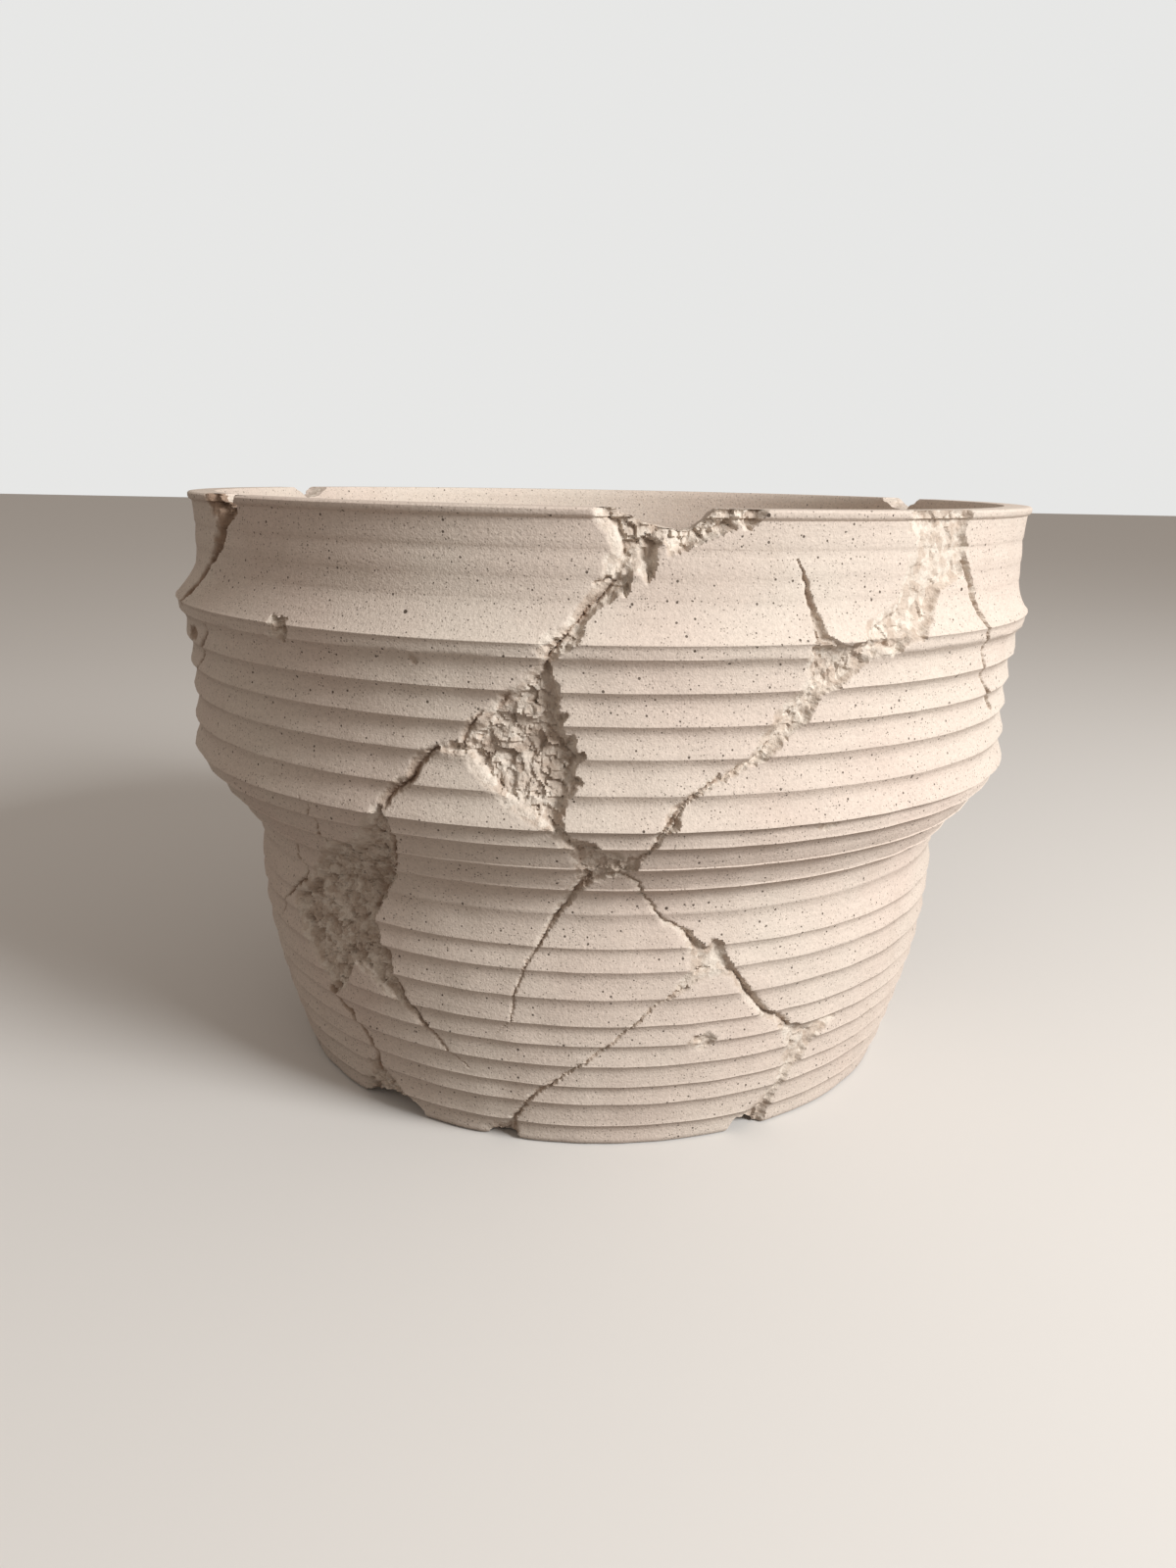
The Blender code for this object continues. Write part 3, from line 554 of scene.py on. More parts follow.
# %% Cracks between the patches
CRACKS = {
    "wing_crack": (
        (-17.6, 16.1, 0.0018), (-18.4, 15.95, 0.0026), (-19.9, 15.6, 0.003), (-21.0, 15.05, 0.0032),
        (-22.8, 14.8, 0.003), (-24.0, 14.4, 0.0034)),
    "upper_seam": (
        (-2.0, 20.47, 0.0008), (-0.6, 20.52, 0.0014), (0.2, 20.49, 0.0014), (-0.5, 20.43, 0.0013),
        (-1.2, 20.34, 0.0012), (-2.3, 20.28, 0.0013), (-3.2, 20.15, 0.0014), (-4.0, 20.06, 0.0017),
        (-4.9, 19.71, 0.0017), (-5.7, 18.99, 0.0014)),
    "tapered_crack": (
        (19.3, 20.66, 0.0005), (20.1, 20.57, 0.0009), (20.5, 20.48, 0.0012), (20.8, 20.4, 0.0015),
        (21.0, 20.32, 0.0012)),
    "main_edge_crack": (
        (-14.8, 16.12, 0.001), (-14.7, 16.27, 0.0016), (-14.4, 16.6, 0.002), (-13.7, 16.92, 0.0018),
        (-13.0, 17.16, 0.0012), (-12.3, 17.33, 0.0006)),
    "main_short_crack": (
        (-9.7, 17.9, 0.0008), (-10.2, 17.66, 0.002), (-10.8, 17.45, 0.0008)),
    "slab_crack": (
        (-24.9, 14.1, 0.003), (-24.6, 13.6, 0.0032), (-24.4, 12.9, 0.0026), (-24.9, 12.2, 0.0022),
        (-26.2, 11.6, 0.0016), (-27.3, 10.9, 0.001)),
    "junction_crack": (
        (3.0, 11.9, 0.002), (1.0, 11.72, 0.0026), (-0.8, 11.5, 0.0032), (-1.8, 11.3, 0.0034)),
    "crack_up_right": (
        (3.2, 12.39, 0.0022), (4.2, 12.48, 0.0018), (4.9, 12.67, 0.0016), (5.6, 12.84, 0.0016),
        (5.9, 13.21, 0.0019), (6.3, 13.62, 0.0019), (6.8, 14.04, 0.0018), (7.3, 14.22, 0.0026),
        (7.9, 14.49, 0.0026), (8.6, 14.76, 0.002), (9.4, 14.94, 0.0016), (10.4, 15.13, 0.0016),
        (11.2, 15.26, 0.0018), (12.6, 15.42, 0.0022)),
    "left_side_crack": (
        (-54.8, 18.9, 0.0006), (-55.4, 18.52, 0.0018), (-57.4, 18.1, 0.002), (-59.3, 17.75, 0.0016),
        (-60.8, 17.45, 0.0014), (-63.5, 17.0, 0.001), (-65.3, 16.79, 0.0004)),
    "right_crack": (
        (44.2, 20.62, 0.0024), (45.7, 20.46, 0.0024), (47.0, 20.28, 0.0022), (48.8, 20.06, 0.0018),
        (49.6, 19.4, 0.0016), (50.1, 19.05, 0.0012), (50.9, 18.56, 0.002), (51.3, 18.2, 0.0014),
        (52.0, 17.69, 0.0014), (54.0, 17.25, 0.0014), (55.4, 17.0, 0.0022), (57.6, 16.5, 0.0026),
        (58.8, 16.25, 0.0012)),
    "right_tongue_crack": (
        (-30.2, 6.7, 0.0032), (-28.3, 6.0, 0.0028), (-26.8, 5.45, 0.0024), (-25.3, 5.0, 0.0018),
        (-24.0, 4.55, 0.0012), (-22.2, 4.0, 0.0007), (-19.0, 3.3, 0.0004)),
    "left_tongue_crack": (
        (-44.8, 5.2, 0.0022), (-43.0, 4.6, 0.0016), (-41.0, 4.4, 0.0015), (-39.0, 3.55, 0.0015),
        (-37.8, 3.3, 0.0016), (-37.3, 2.95, 0.0018), (-37.0, 2.6, 0.0018), (-37.3, 2.0, 0.0022),
        (-38.4, 1.6, 0.0024)),
    "crack_above_left": (
        (-36.2, 14.05, 0.0004), (-35.7, 13.55, 0.0007), (-36.1, 13.1, 0.0009), (-36.5, 12.6, 0.0009),
        (-37.2, 12.1, 0.0012), (-38.2, 11.6, 0.0018)),
    "left_edge_crack": (
        (-50.0, 10.6, 0.0006), (-50.5, 10.1, 0.0012), (-48.3, 9.85, 0.0016), (-49.0, 9.45, 0.002),
        (-52.4, 8.95, 0.0016), (-55.5, 8.3, 0.0012), (-57.5, 7.75, 0.001), (-59.5, 7.1, 0.0005)),
    "crack_down_left": (
        (-1.0, 11.7, 0.0034), (-2.4, 11.2, 0.0034), (-3.6, 10.6, 0.003), (-5.6, 9.9, 0.0022),
        (-8.0, 8.9, 0.0013), (-9.3, 8.3, 0.001), (-10.1, 7.65, 0.0009), (-11.2, 7.1, 0.001),
        (-11.5, 6.5, 0.0008), (-11.9, 6.0, 0.0005), (-14.0, 5.3, 0.0003)),
    "crack_down_right": (
        (2.6, 11.85, 0.0018), (4.8, 11.35, 0.0013), (5.5, 10.85, 0.0012), (6.9, 10.4, 0.0012),
        (8.0, 9.95, 0.0012), (9.2, 9.75, 0.0014), (10.6, 9.6, 0.0016)),
    "crack_low_right": (
        (19.4, 7.75, 0.0024), (21.6, 6.95, 0.003), (23.4, 6.45, 0.003), (25.2, 6.0, 0.0028),
        (27.8, 5.6, 0.0026), (30.0, 5.05, 0.0024)),
    "crack_to_foot": (
        (12.4, 7.35, 0.0018), (10.1, 7.05, 0.0013), (7.8, 6.6, 0.0012), (6.1, 6.2, 0.0013),
        (4.8, 5.85, 0.0011), (3.5, 5.45, 0.0013), (2.2, 5.05, 0.0011), (0.3, 4.6, 0.0013),
        (-0.9, 4.25, 0.0012), (-3.0, 3.8, 0.0013), (-7.0, 2.85, 0.0014), (-8.7, 2.5, 0.0014),
        (-9.9, 2.05, 0.0016), (-11.0, 1.55, 0.0018), (-12.5, 1.15, 0.002), (-12.9, 0.65, 0.002),
        (-13.3, -0.3, 0.0022)),
    "left_rim_crack": (
        (-52.8, 20.9, 0.003), (-54.0, 20.74, 0.003), (-54.4, 20.62, 0.0036), (-56.4, 20.49, 0.003),
        (-58.2, 20.43, 0.0024), (-59.0, 20.36, 0.0016), (-60.1, 20.29, 0.0034), (-60.9, 20.24, 0.0038),
        (-61.4, 20.14, 0.0038), (-62.8, 20.07, 0.0036), (-63.5, 20.0, 0.0024)),
    "back_crack": (
        (154.8, 20.6, 0.002), (153.0, 20.2, 0.0014), (154.0, 19.3, 0.0014), (156.2, 18.2, 0.0011),
        (155.2, 17.2, 0.0008), (156.0, 16.3, 0.0004)),
}
print("Cracks:", len(CRACKS), "with", sum(len(way) for way in CRACKS.values()), "points")

# %% [markdown]
# The damage is a field: for any place on the wall it tells how deep the skin has gone there. The
# surroundings of a patch or a crack are laid flat round its own middle, and the distance to each
# straight edge is measured. Near an edge the depth follows a bevel or a steep side, and inside
# it is the patch's own depth.

# %% Lay the wall flat and measure distances on it
REACH = 0.004
TINY, TINY_GAP = 1e-12, 1e-9


def lay_flat(marks, angles, heights):
    """A patch's or crack's marks and the spots near it, laid flat, and which spots those are."""
    mark_angles = np.array([mark[0] for mark in marks])
    mark_heights = np.array([height_at(mark[1]) for mark in marks])
    radii = [float(skin(np.clip(height, 0, LIP))) for height in mark_heights]
    middle, radius = (min(mark_angles) + max(mark_angles)) / 2, sum(radii) / len(radii)
    laid = np.stack([np.radians(mark_angles - middle) * radius, mark_heights], axis=1)
    spots = np.stack([np.radians(angles - middle) * radius, heights], axis=1)
    near = ((spots > laid.min(axis=0) - REACH) & (spots < laid.max(axis=0) + REACH)).all(axis=1)
    return laid, spots[near], near


def to_edges(spots, starts, ends):
    """From each spot to each straight edge: the distance, the share of the way along, the way off."""
    ways = ends - starts
    along = ((spots[:, None] - starts) * ways).sum(2) / np.maximum((ways ** 2).sum(1), TINY)
    along = np.clip(along, 0.0, 1.0)
    off = spots[:, None] - starts - along[..., None] * ways
    return np.hypot(off[..., 0], off[..., 1]), along, off


def within(spots, corners):
    """True for each spot inside the outline: a level line from it crosses an odd number of edges."""
    following = np.roll(corners, -1, axis=0)
    above = corners[:, 1] > spots[:, 1:2]
    run, climb = (following - corners).T
    climb = np.where(np.abs(climb) < TINY, TINY, climb)
    crossing = corners[:, 0] + (spots[:, 1:2] - corners[:, 1]) * run / climb
    return ((above != np.roll(above, -1, axis=1)) & (spots[:, 0:1] < crossing)).sum(1) % 2 == 1


square = np.array([(0, 0), (1, 0), (1, 1), (0, 1)], dtype=float)
print("Inside and outside a unit square:", within(np.array([(0.5, 0.5), (1.5, 0.5)]), square))

# %% The depth of a burst
BEVEL_WIDTH, STEEP_WIDTH = 0.0030, 0.0021
NARROW_SHARES, OWN_SHARES = (0.56, 0.40), {"tapered_facet": (0.14, 0.84)}
BEVEL_PROFILE = ((0.0, 0.78, 0.88, 1.0), (0.0, 0.46, 0.78, 1.0))
STEEP_PROFILE = ((0.0, 0.22, 0.60, 1.0), (0.0, 0.52, 0.88, 1.0))
LEFTWARD, LEFT_SHARPNESS = np.array((-0.97, -0.24)), 1.4
NARROW_DEPTH, DEPTH_BY_WIDTH = 0.0006, 0.9
BOTTOM_AT_BEVEL, BOTTOM_FALL, STEEP_LEAD = 0.75, 0.35, 0.35
FAR = 1.0


def leaning(directions):
    """1 where a direction points to the left, 0 where it points to the right."""
    return eased(directions @ LEFTWARD * LEFT_SHARPNESS + 0.5)


def no_damage(count):
    """The empty field at so many spots: no depth, far from any outline, and no share or darkness."""
    return np.zeros(count), np.full(count, FAR), np.zeros(count)


def burst_field(name, angles, heights):
    """The depth here, how near the outline is (less than 0 inside), and the share of the way in."""
    depths, outline = BURSTS[name]
    bevel_of_narrow, steep_of_narrow = OWN_SHARES.get(name, NARROW_SHARES)
    steep_width = FAR if name in OWN_SHARES else STEEP_WIDTH
    corners, spots, near = lay_flat(outline, angles, heights)
    depth, nearness, share = no_damage(len(near))
    following = np.roll(corners, -1, axis=0)
    apart, _, _ = to_edges(spots, corners, following)
    ways = following - corners
    area = (corners[:, 0] * following[:, 1] - following[:, 0] * corners[:, 1]).sum()
    outward = np.stack([ways[:, 1], -ways[:, 0]], axis=1) * np.sign(area)
    outward /= np.linalg.norm(outward, axis=1, keepdims=True)
    gentle = leaning(outward) > 0.5
    to_bevel = np.where(gentle, apart, FAR).min(axis=1)
    to_steep = np.where(gentle, FAR, apart).min(axis=1)
    across = to_bevel + to_steep
    bevel_share = to_bevel / np.minimum(BEVEL_WIDTH, bevel_of_narrow * across)
    steep_share = to_steep / np.minimum(steep_width, steep_of_narrow * across)
    inner = within(spots, corners)
    order = sorted((height_at(row), deep) for row, deep in depths)
    bottom = np.interp(heights[near], [z for z, _ in order], [deep for _, deep in order])
    bottom = np.minimum(bottom, NARROW_DEPTH + DEPTH_BY_WIDTH * across)
    bottom = bottom * (BOTTOM_AT_BEVEL + BOTTOM_FALL * to_bevel / across)
    sides = np.minimum(np.interp(bevel_share, *BEVEL_PROFILE), np.interp(steep_share, *STEEP_PROFILE))
    depth[near] = np.where(inner, bottom * sides, 0.0)
    nearness[near] = np.where(inner, -1.0, 1.0) * apart.min(axis=1)
    way_in = np.clip(np.minimum(bevel_share, steep_share + STEEP_LEAD), 0.0, 1.0)
    share[near] = np.where(inner, way_in, 0.0)
    return depth, nearness, share


print("Fields for", len(BURSTS), "bursts are ready")

# %% The depth of a crack
CRACK_PROFILE, SHEER_CURVE = ((0.0, 0.70, 1.0), (0.0, 0.42, 1.0)), 0.7
SHEER_REACH, BEVEL_REACH = 0.42, 0.26
CRACK_DEPTH, WIDEST_CRACK = 0.0004, 0.0028
# A crack's dark line is painted shade, reaching wider over its sheer side, which faces away from the lamp.
DARK_LINE, DARK_ON_BEVEL, DARK_ON_SHEER, DARK_STRENGTH = 0.00018, 0.04, 0.30, 1.6
DARK_WIDTH, FAINTEST = 0.0014, 0.2


def crack_field(name, angles, heights):
    """The same for a crack, with the painted shade along its bottom in place of the share."""
    line, spots, near = lay_flat(CRACKS[name], angles, heights)
    depth, nearness, dark = no_damage(len(near))
    wide = np.array([mark[2] for mark in CRACKS[name]])
    apart, along, off = to_edges(spots, line[:-1], line[1:])
    nearest = apart.argmin(axis=1)
    each = np.arange(len(nearest))
    apart, along, off = apart[each, nearest], along[each, nearest], off[each, nearest]
    width = wide[nearest] + (wide[nearest + 1] - wide[nearest]) * along
    side = leaning(off / np.maximum(apart, TINY_GAP)[:, None])
    half = width * (SHEER_REACH + BEVEL_REACH * side)
    fall = np.clip(1 - apart / half, 0.0, 1.0)
    profile = np.where(side > 0.5, np.interp(fall, *CRACK_PROFILE), fall ** SHEER_CURVE)
    depth[near] = (CRACK_DEPTH + DEPTH_BY_WIDTH * np.minimum(width, WIDEST_CRACK)) * profile
    nearness[near] = apart - half
    # Painted shade along the crack, wider on its sheer side.
    reach = DARK_LINE + np.where(side > 0.5, DARK_ON_BEVEL, DARK_ON_SHEER) * width
    dark[near] = np.clip(DARK_STRENGTH - DARK_STRENGTH * apart / reach, 0.0, 1.0)
    dark[near] *= np.clip(width / DARK_WIDTH, FAINTEST, 1.0)
    return depth, nearness, dark


print("Fields for", len(CRACKS), "cracks are ready")

# %% All the damage together
INNER_CRACKS = ("upper_seam", "main_edge_crack", "main_short_crack", "slab_crack")
INNER_SHARE = 0.7


def damage(angles, heights):
    """Depth, nearness, share of the way into a patch, and a crack's painted shade, over all the damage."""
    total, nearest, share = no_damage(len(angles))
    dark = np.zeros(len(angles))
    for name in BURSTS:
        depth, nearness, way_in = burst_field(name, angles, heights)
        total, nearest = np.maximum(total, depth), np.minimum(nearest, nearness)
        share = np.maximum(share, way_in)
    for name in CRACKS:
        depth, nearness, painted_shade = crack_field(name, angles, heights)
        add = INNER_SHARE * total * (depth > 0) if name in INNER_CRACKS else 0.0
        total, nearest = np.maximum(total, depth + add), np.minimum(nearest, nearness)
        # Keep the strongest painted shade of the cracks.
        dark = np.maximum(dark, painted_shade)
    return total, nearest, share, dark


sample = damage(np.array([-8.0, 0.0, 10.0]), np.array([height_at(16.4), height_at(17), height_at(20.5)]))
print("Depth in the middle burst, and on two whole places:", [round(float(d), 4) for d in sample[0]])

# %% [markdown]
# The damage needs finer faces than the whole wall does. So the edges near it are halved, round
# by round, until few are longer than 0.6 mm, and those along the cracks once more. The rest of
# the wall keeps its light mesh. Only the outside is asked for, since the inside is whole.

# %% Refine the wall where it is damaged
ROUNDS, PASSES = ((0.0018, 0.0010), (0.00097, 0.0005), (0.00061, 0.0002)), 2
CRACK_EDGE = 0.00036
OUTER_SHARE = 0.8


def polar(spots):
    """Angle in degrees from the front, radius and height of points, measured from the leaning axis."""
    x = spots[:, 0] - lean(spots[:, 2])
    return np.degrees(np.arctan2(x, -spots[:, 1])), np.hypot(x, spots[:, 1]), spots[:, 2]


def envelope(heights):
    """The skin, with the lip's own radius at the rim, and the foot's edge below the ground."""
    return np.where(heights > LIP - MARGIN, RIM_RADIUS, skin(np.clip(heights, 0.0, LIP)))


def near_damage(piece, longest, margin):
    """The edges longer than this that lie within a margin of the damage, or of a crack's dark line."""
    ends, lengths = edge_lengths(piece)
    spots = points_of(piece)
    middles = (spots[ends[:, 0]] + spots[ends[:, 1]]) / 2
    angles, radii, heights = polar(middles)
    maybe = (lengths > longest) & (radii > envelope(heights) - WALL * OUTER_SHARE)
    wanted = np.zeros(len(lengths), dtype=bool)
    _, nearness, _, dark = damage(angles[maybe], heights[maybe])
    wanted[maybe] = dark > 0 if margin is None else nearness < margin + lengths[maybe] / 2
    return wanted


for longest, margin in ROUNDS:
    for _ in range(PASSES):
        wanted = near_damage(pot, longest, margin)
        if wanted.any():
            split_edges(pot, wanted)
    print("Edges up to", longest * 1000, "mm:", len(pot.data.polygons), "faces")
split_edges(pot, near_damage(pot, CRACK_EDGE, None))
print("With finer edges along the cracks:", len(pot.data.polygons), "faces")

# %% [markdown]
# Now the skin bursts. Each point near the damage moves in to the depth of the field. Inside a
# patch the clay is rubble: facets a few millimetres wide, each with a level and a tilt of its
# own, and smaller ones on them. Most of them fall away to the upper right, like shingles, and so
# they catch the light and leave short dark risers. The boundary wanders a little, because clay
# doesn't break on a ruler. In a groove the damage is measured from the groove's own bottom.
# Painted shade, tinted brown, darkens the hollows, the cracks and a few listed places, most of
# all on the left, away from the lamp.

# %% Rubble
RUBBLE = ((0.0046, 0.0012), (0.0022, 0.0007), (0.0011, 0.00030))
DUST_SIZE, DUST_RISE = 0.0005, 0.00020
RUBBLE_BY_ANGLE = ((-32.0, -20.0, 6.0, 20.0), (1.6, 1.0, 1.0, 0.62))
# Painted shade is strongest on the left, the side away from the lamp.
SHADE_BY_ANGLE = ((-32.0, -16.0, 10.0), (1.5, 0.80, 0.40))
RUBBLE_FROM, RUBBLE_FADE, RUBBLE_DEPTH, MOST_RUBBLE = 0.60, 0.30, 0.0030, 1.15
# Painted shade in the rubble's hollows.
HOLLOW_SHADE, HOLLOW_DEPTH = 0.45, 0.0012
# Places whose facets face away from the lamp get painted shade, tinted brown.
SHADE_DROP, SHADE_DEPTH = 0.00030, 0.0008
SHADED_PLACES = {
    "left_rim_burst": 0.70, "left_nick": 0.55, "tapered_facet": 0.75, "shoulder_pit": 0.30,
    "left_rim_crack": 1.00, "wing_crack": 0.50, "left_side_crack": 0.50, "left_tongue_crack": 0.45,
    "right_tongue_crack": 0.35,
}
FALL_RIGHT, FALL_UP, FALL, LEVEL, TILT = 0.75, 0.5, 0.5, 0.45, 1.5
CELL_SEED = 31.7
HALF = Vector((0.5, 0.5, 0.5))


def facets(spots, angles, size):
    """Facets of a size: each cell has its own level and tilt, and falls away to the upper right."""
    depths = np.empty(len(spots))
    for i, spot in enumerate(spots / size):
        turn = math.radians(angles[i])
        place = Vector(spot)
        centre = noise.voronoi(place)[1][0]
        own = noise.cell_vector(centre * CELL_SEED)
        off = place - centre
        falling = FALL_RIGHT * off.dot(Vector((math.cos(turn), math.sin(turn), 0.0))) + FALL_UP * off.z
        depths[i] = LEVEL * (own.x - 0.5) + FALL * falling + TILT * off.dot(own - HALF)
    return depths


def rubble(spots, angles, share, depth):
    """How much deeper or shallower than the patch's smooth bottom its broken clay lies."""
    rough = DUST_RISE * noise_at(spots, DUST_SIZE, 2.0)
    for size, rise in RUBBLE:
        rough += rise * facets(spots, angles, size)
    well_in = np.clip((share - RUBBLE_FROM) / RUBBLE_FADE, 0.0, 1.0)
    rough *= well_in * np.clip(depth / RUBBLE_DEPTH, 0.0, MOST_RUBBLE)
    return rough * np.interp(angles, *RUBBLE_BY_ANGLE)


def paint_shade(dark, rough, angles, wander, heights):
    """The painted shade of the cracks, the hollows and the listed places, strongest on the left, away from
    the lamp.
    """
    # Painted shade in the hollows, where the rubble lies deeper than the patch's bottom.
    dark = np.maximum(dark, HOLLOW_SHADE * np.clip(rough / HOLLOW_DEPTH, 0.0, 1.0))
    # Painted shade over the listed places, whose facets face away from the lamp.
    for name, darkening in SHADED_PLACES.items():
        field = burst_field if name in BURSTS else crack_field
        depth, _, _ = field(name, angles + wander, heights + SHADE_DROP)
        dark = np.maximum(dark, darkening * np.clip(depth / SHADE_DEPTH, 0.0, 1.0))
    # The painted shade grows toward the left, where the lamp doesn't reach.
    return np.clip(dark * np.interp(angles, *SHADE_BY_ANGLE), 0.0, 1.0)


print("Rubble of", [round(size * 1000, 1) for size, _ in RUBBLE], "mm and", len(SHADED_PLACES), "patches_in_shade")

# %% Burst the skin
WANDER, SWAY_SHIFTS, RISE_SHIFTS = ((0.0005, 0.0016), (0.0004, 0.0007)), (11.0, 5.0), (23.0, 17.0)
OUTER_WALL, BURST_MARGIN = WALL * 0.97, 0.0015
DEEPEST_GROOVE = 0.0021
LEAST_ROUGH, GROOVE_SHARE, KEPT_RELIEF = 0.4, 0.5, 0.05
LEAST_DEPTH, FULLY_BROKEN = 0.00003, 0.0003


def wandering(spots, shifts):
    """How far an outline wanders at each spot, in large waves and small ones."""
    return sum(reach * noise_at(spots, size, shift) for (reach, size), shift in zip(WANDER, shifts))


def burst_skin(piece):
    """Move the points of the damage in, and return how broken each point is and how much painted shade it
    has.
    """
    spots = points_of(piece)
    angles, radii, heights = polar(spots)
    skin_here = envelope(heights)
    outer = np.flatnonzero(radii > skin_here - OUTER_WALL)
    _, nearness, _, _ = damage(angles[outer], heights[outer])
    outer = outer[nearness < BURST_MARGIN]
    here, skin_here = spots[outer], skin_here[outer]
    around, radius, height = angles[outer], radii[outer], heights[outer]
    wander = np.degrees(wandering(here, SWAY_SHIFTS) / skin_here)
    depth, _, share, dark = damage(around + wander, height + wandering(here, RISE_SHIFTS))
    rough = rubble(here, around, share, depth)
    # The painted shade of the cracks, the hollows and the shaded places.
    dark = paint_shade(dark, rough, around, wander, height)
    depth = np.maximum(depth + rough, LEAST_ROUGH * depth)
    own_surface = np.where(radius > skin_here - DEEPEST_GROOVE, radius, FAR)
    limit = np.minimum(skin_here - depth, own_surface - GROOVE_SHARE * depth)
    gone = (depth > LEAST_DEPTH) & (radius > limit)
    new_radius = np.where(gone, limit + KEPT_RELIEF * (radius - limit), radius)
    broken, painted_shade = np.zeros(len(spots)), np.zeros(len(spots))
    broken[outer] = np.where(gone, np.clip((radius - limit) / FULLY_BROKEN, 0.0, 1.0), 0.0)
    painted_shade[outer] = np.where(gone, dark, 0.0)
    turn = np.radians(around)
    spots[outer, 0] = new_radius * np.sin(turn) + lean(height)
    spots[outer, 1] = -new_radius * np.cos(turn)
    put_points(piece, spots)
    return broken, painted_shade


whole_radii = polar(points_of(pot))[1]
broken, painted_shade = burst_skin(pot)
print("Points moved in:", int((broken > 0).sum()), "of", len(broken), "- deepest",
      round(float((whole_radii - polar(points_of(pot))[1]).max()) * 1000, 2), "mm")

# %% [markdown]
# The broken sections that the cutters left are fresh clay as well, so they are found by their
# place, between the two skins of the wall. What is broken and where shade is painted are kept
# with the mesh as attributes, for the clay's material to read.

# %% Keep what is broken as attributes
INNER_MARGIN, END_MARGIN = 0.0012, 0.0004
FLOOR_ZONE, FOOT_WALL = FLOOR * 1.2, 0.0845
angles, radii, heights = polar(points_of(pot))
under_skin = envelope(heights) - whole_radii
between = (under_skin > DEEPEST_GROOVE + MARGIN) & (under_skin < WALL - INNER_MARGIN)
between &= (heights > END_MARGIN) & (heights < POT_HEIGHT - END_MARGIN)
broken = np.where(between & ((heights > FLOOR_ZONE) | (radii > FOOT_WALL)), 1.0, broken)
for name, values in (("broken", broken), ("painted_shade", painted_shade)):
    kept = pot.data.attributes.new(name, "FLOAT", "POINT")
    kept.data.foreach_set("value", values)
print("Share of points on broken clay:", round(float(broken.mean()), 3))

# %% Finish the piece
SHARP = math.radians(38)
take(pot)
bpy.ops.object.shade_smooth_by_angle(angle=SHARP)
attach(pot, "root")
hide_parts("pot")
pot.data.calc_loop_triangles()
print("The pot has", len(pot.data.loop_triangles), "triangles and", open_edges(pot), "open edges")

# %% [markdown]
# A material is a small sum: pale clay, darkened here by specks, lightened there where it is
# broken. Writing it as Python arithmetic keeps it readable, so a value out of a node is wrapped
# in a small class whose operators add the Math nodes, and one method adds every other node.

# %% Write a material as arithmetic
class Value:
    """A number or a colour that comes out of a node."""

    def __init__(self, finish, socket):
        self.finish, self.socket = finish, socket

    def math(self, operation, first, second):
        return self.finish.node("ShaderNodeMath", {"operation": operation}, {0: first, 1: second})

    def __add__(self, other):
        return self.math("ADD", self, other)

    def __sub__(self, other):
        return self.math("SUBTRACT", self, other)

    def __rsub__(self, other):
        return self.math("SUBTRACT", other, self)

    def __mul__(self, other):
        return self.math("MULTIPLY", self, other)

    def __pow__(self, other):
        return self.math("POWER", self, other)

    __radd__ = __add__
    __rmul__ = __mul__

    def held(self):
        """The value kept between 0 and 1."""
        return self.finish.node("ShaderNodeClamp", {}, {"Value": self})

    def above(self, level, slope):
        """0 up to a level, and from there up to 1 by a slope."""
        return ((self - level) * slope).held()


class Finish:
    """A material, or the world, under construction."""

    def __init__(self, owner):
        self.owner = owner
        owner.use_nodes = True
        self.tree = owner.node_tree
        self.tree.nodes.clear()

    def node(self, kind, settings, inputs, output=0):
        """Add a node: its settings first, then the values or links of its sockets."""
        made = self.tree.nodes.new(kind)
        for setting, value in settings.items():
            setattr(made, setting, value)
        for socket, value in inputs.items():
            if isinstance(value, Value):
                self.tree.links.new(value.socket, made.inputs[socket])
            else:
                made.inputs[socket].default_value = value
        return Value(self, made.outputs[output])

    def show(self, shader, on="Material"):
        output = self.tree.nodes.new("ShaderNodeOutput" + on)
        self.tree.links.new(shader.socket, output.inputs["Surface"])

    def mix(self, share, first, second, how="MIX"):
        """Blend two colours: sockets 0, 6 and 7 of a Mix node are its factor and its colours."""
        return self.node("ShaderNodeMix", {"data_type": "RGBA", "blend_type": how},
                         {0: share, 6: first, 7: second}, output=2)

    def attribute(self, name):
        return self.node("ShaderNodeAttribute", {"attribute_name": name}, {}, output=2)

    def place(self):
        return self.node("ShaderNodeTexCoord", {}, {}, output=3)

    def own_value(self, cell):
        """A value from 0 to 1 for each Voronoi cell of a size, the same all over the cell."""
        place = {"Vector": self.place(), "Scale": 1 / cell}
        colour = self.node("ShaderNodeTexVoronoi", {}, place, output=1)
        return self.node("ShaderNodeSeparateColor", {}, {"Color": colour})

    def noise(self, size, detail, place=None):
        return self.node("ShaderNodeTexNoise", {}, {"Vector": place or self.place(), "Scale": 1 / size,
                                                    "Detail": detail, "Roughness": 0.55})


print("Ready to write finishes")

# %% [markdown]
# The clay is pale bisque. Iron has burnt out of it as dark specks of many sizes, some deep enough
# to be pits, and its tint drifts from cream to a faint pink. Each layer of specks is a Voronoi
# pattern: a cell is a speck where it is near its centre, and the cell's own random value sets
# the speck's size, so most are dust and a few are grains.

# %% The clay's specks
SPECK_EDGE = 0.00010


def specks(finish, cell, least, spread, rarity):
    """1 on a speck: cell is the spacing in metres, and the radius grows from least by spread."""
    place = {"Vector": finish.place(), "Scale": 1 / cell}
    distance = finish.node("ShaderNodeTexVoronoi", {}, place)
    radius = finish.own_value(cell) ** rarity * (spread / cell) + least / cell
    return ((radius - distance) * (cell / SPECK_EDGE)).held()


print("A speck layer is ready")

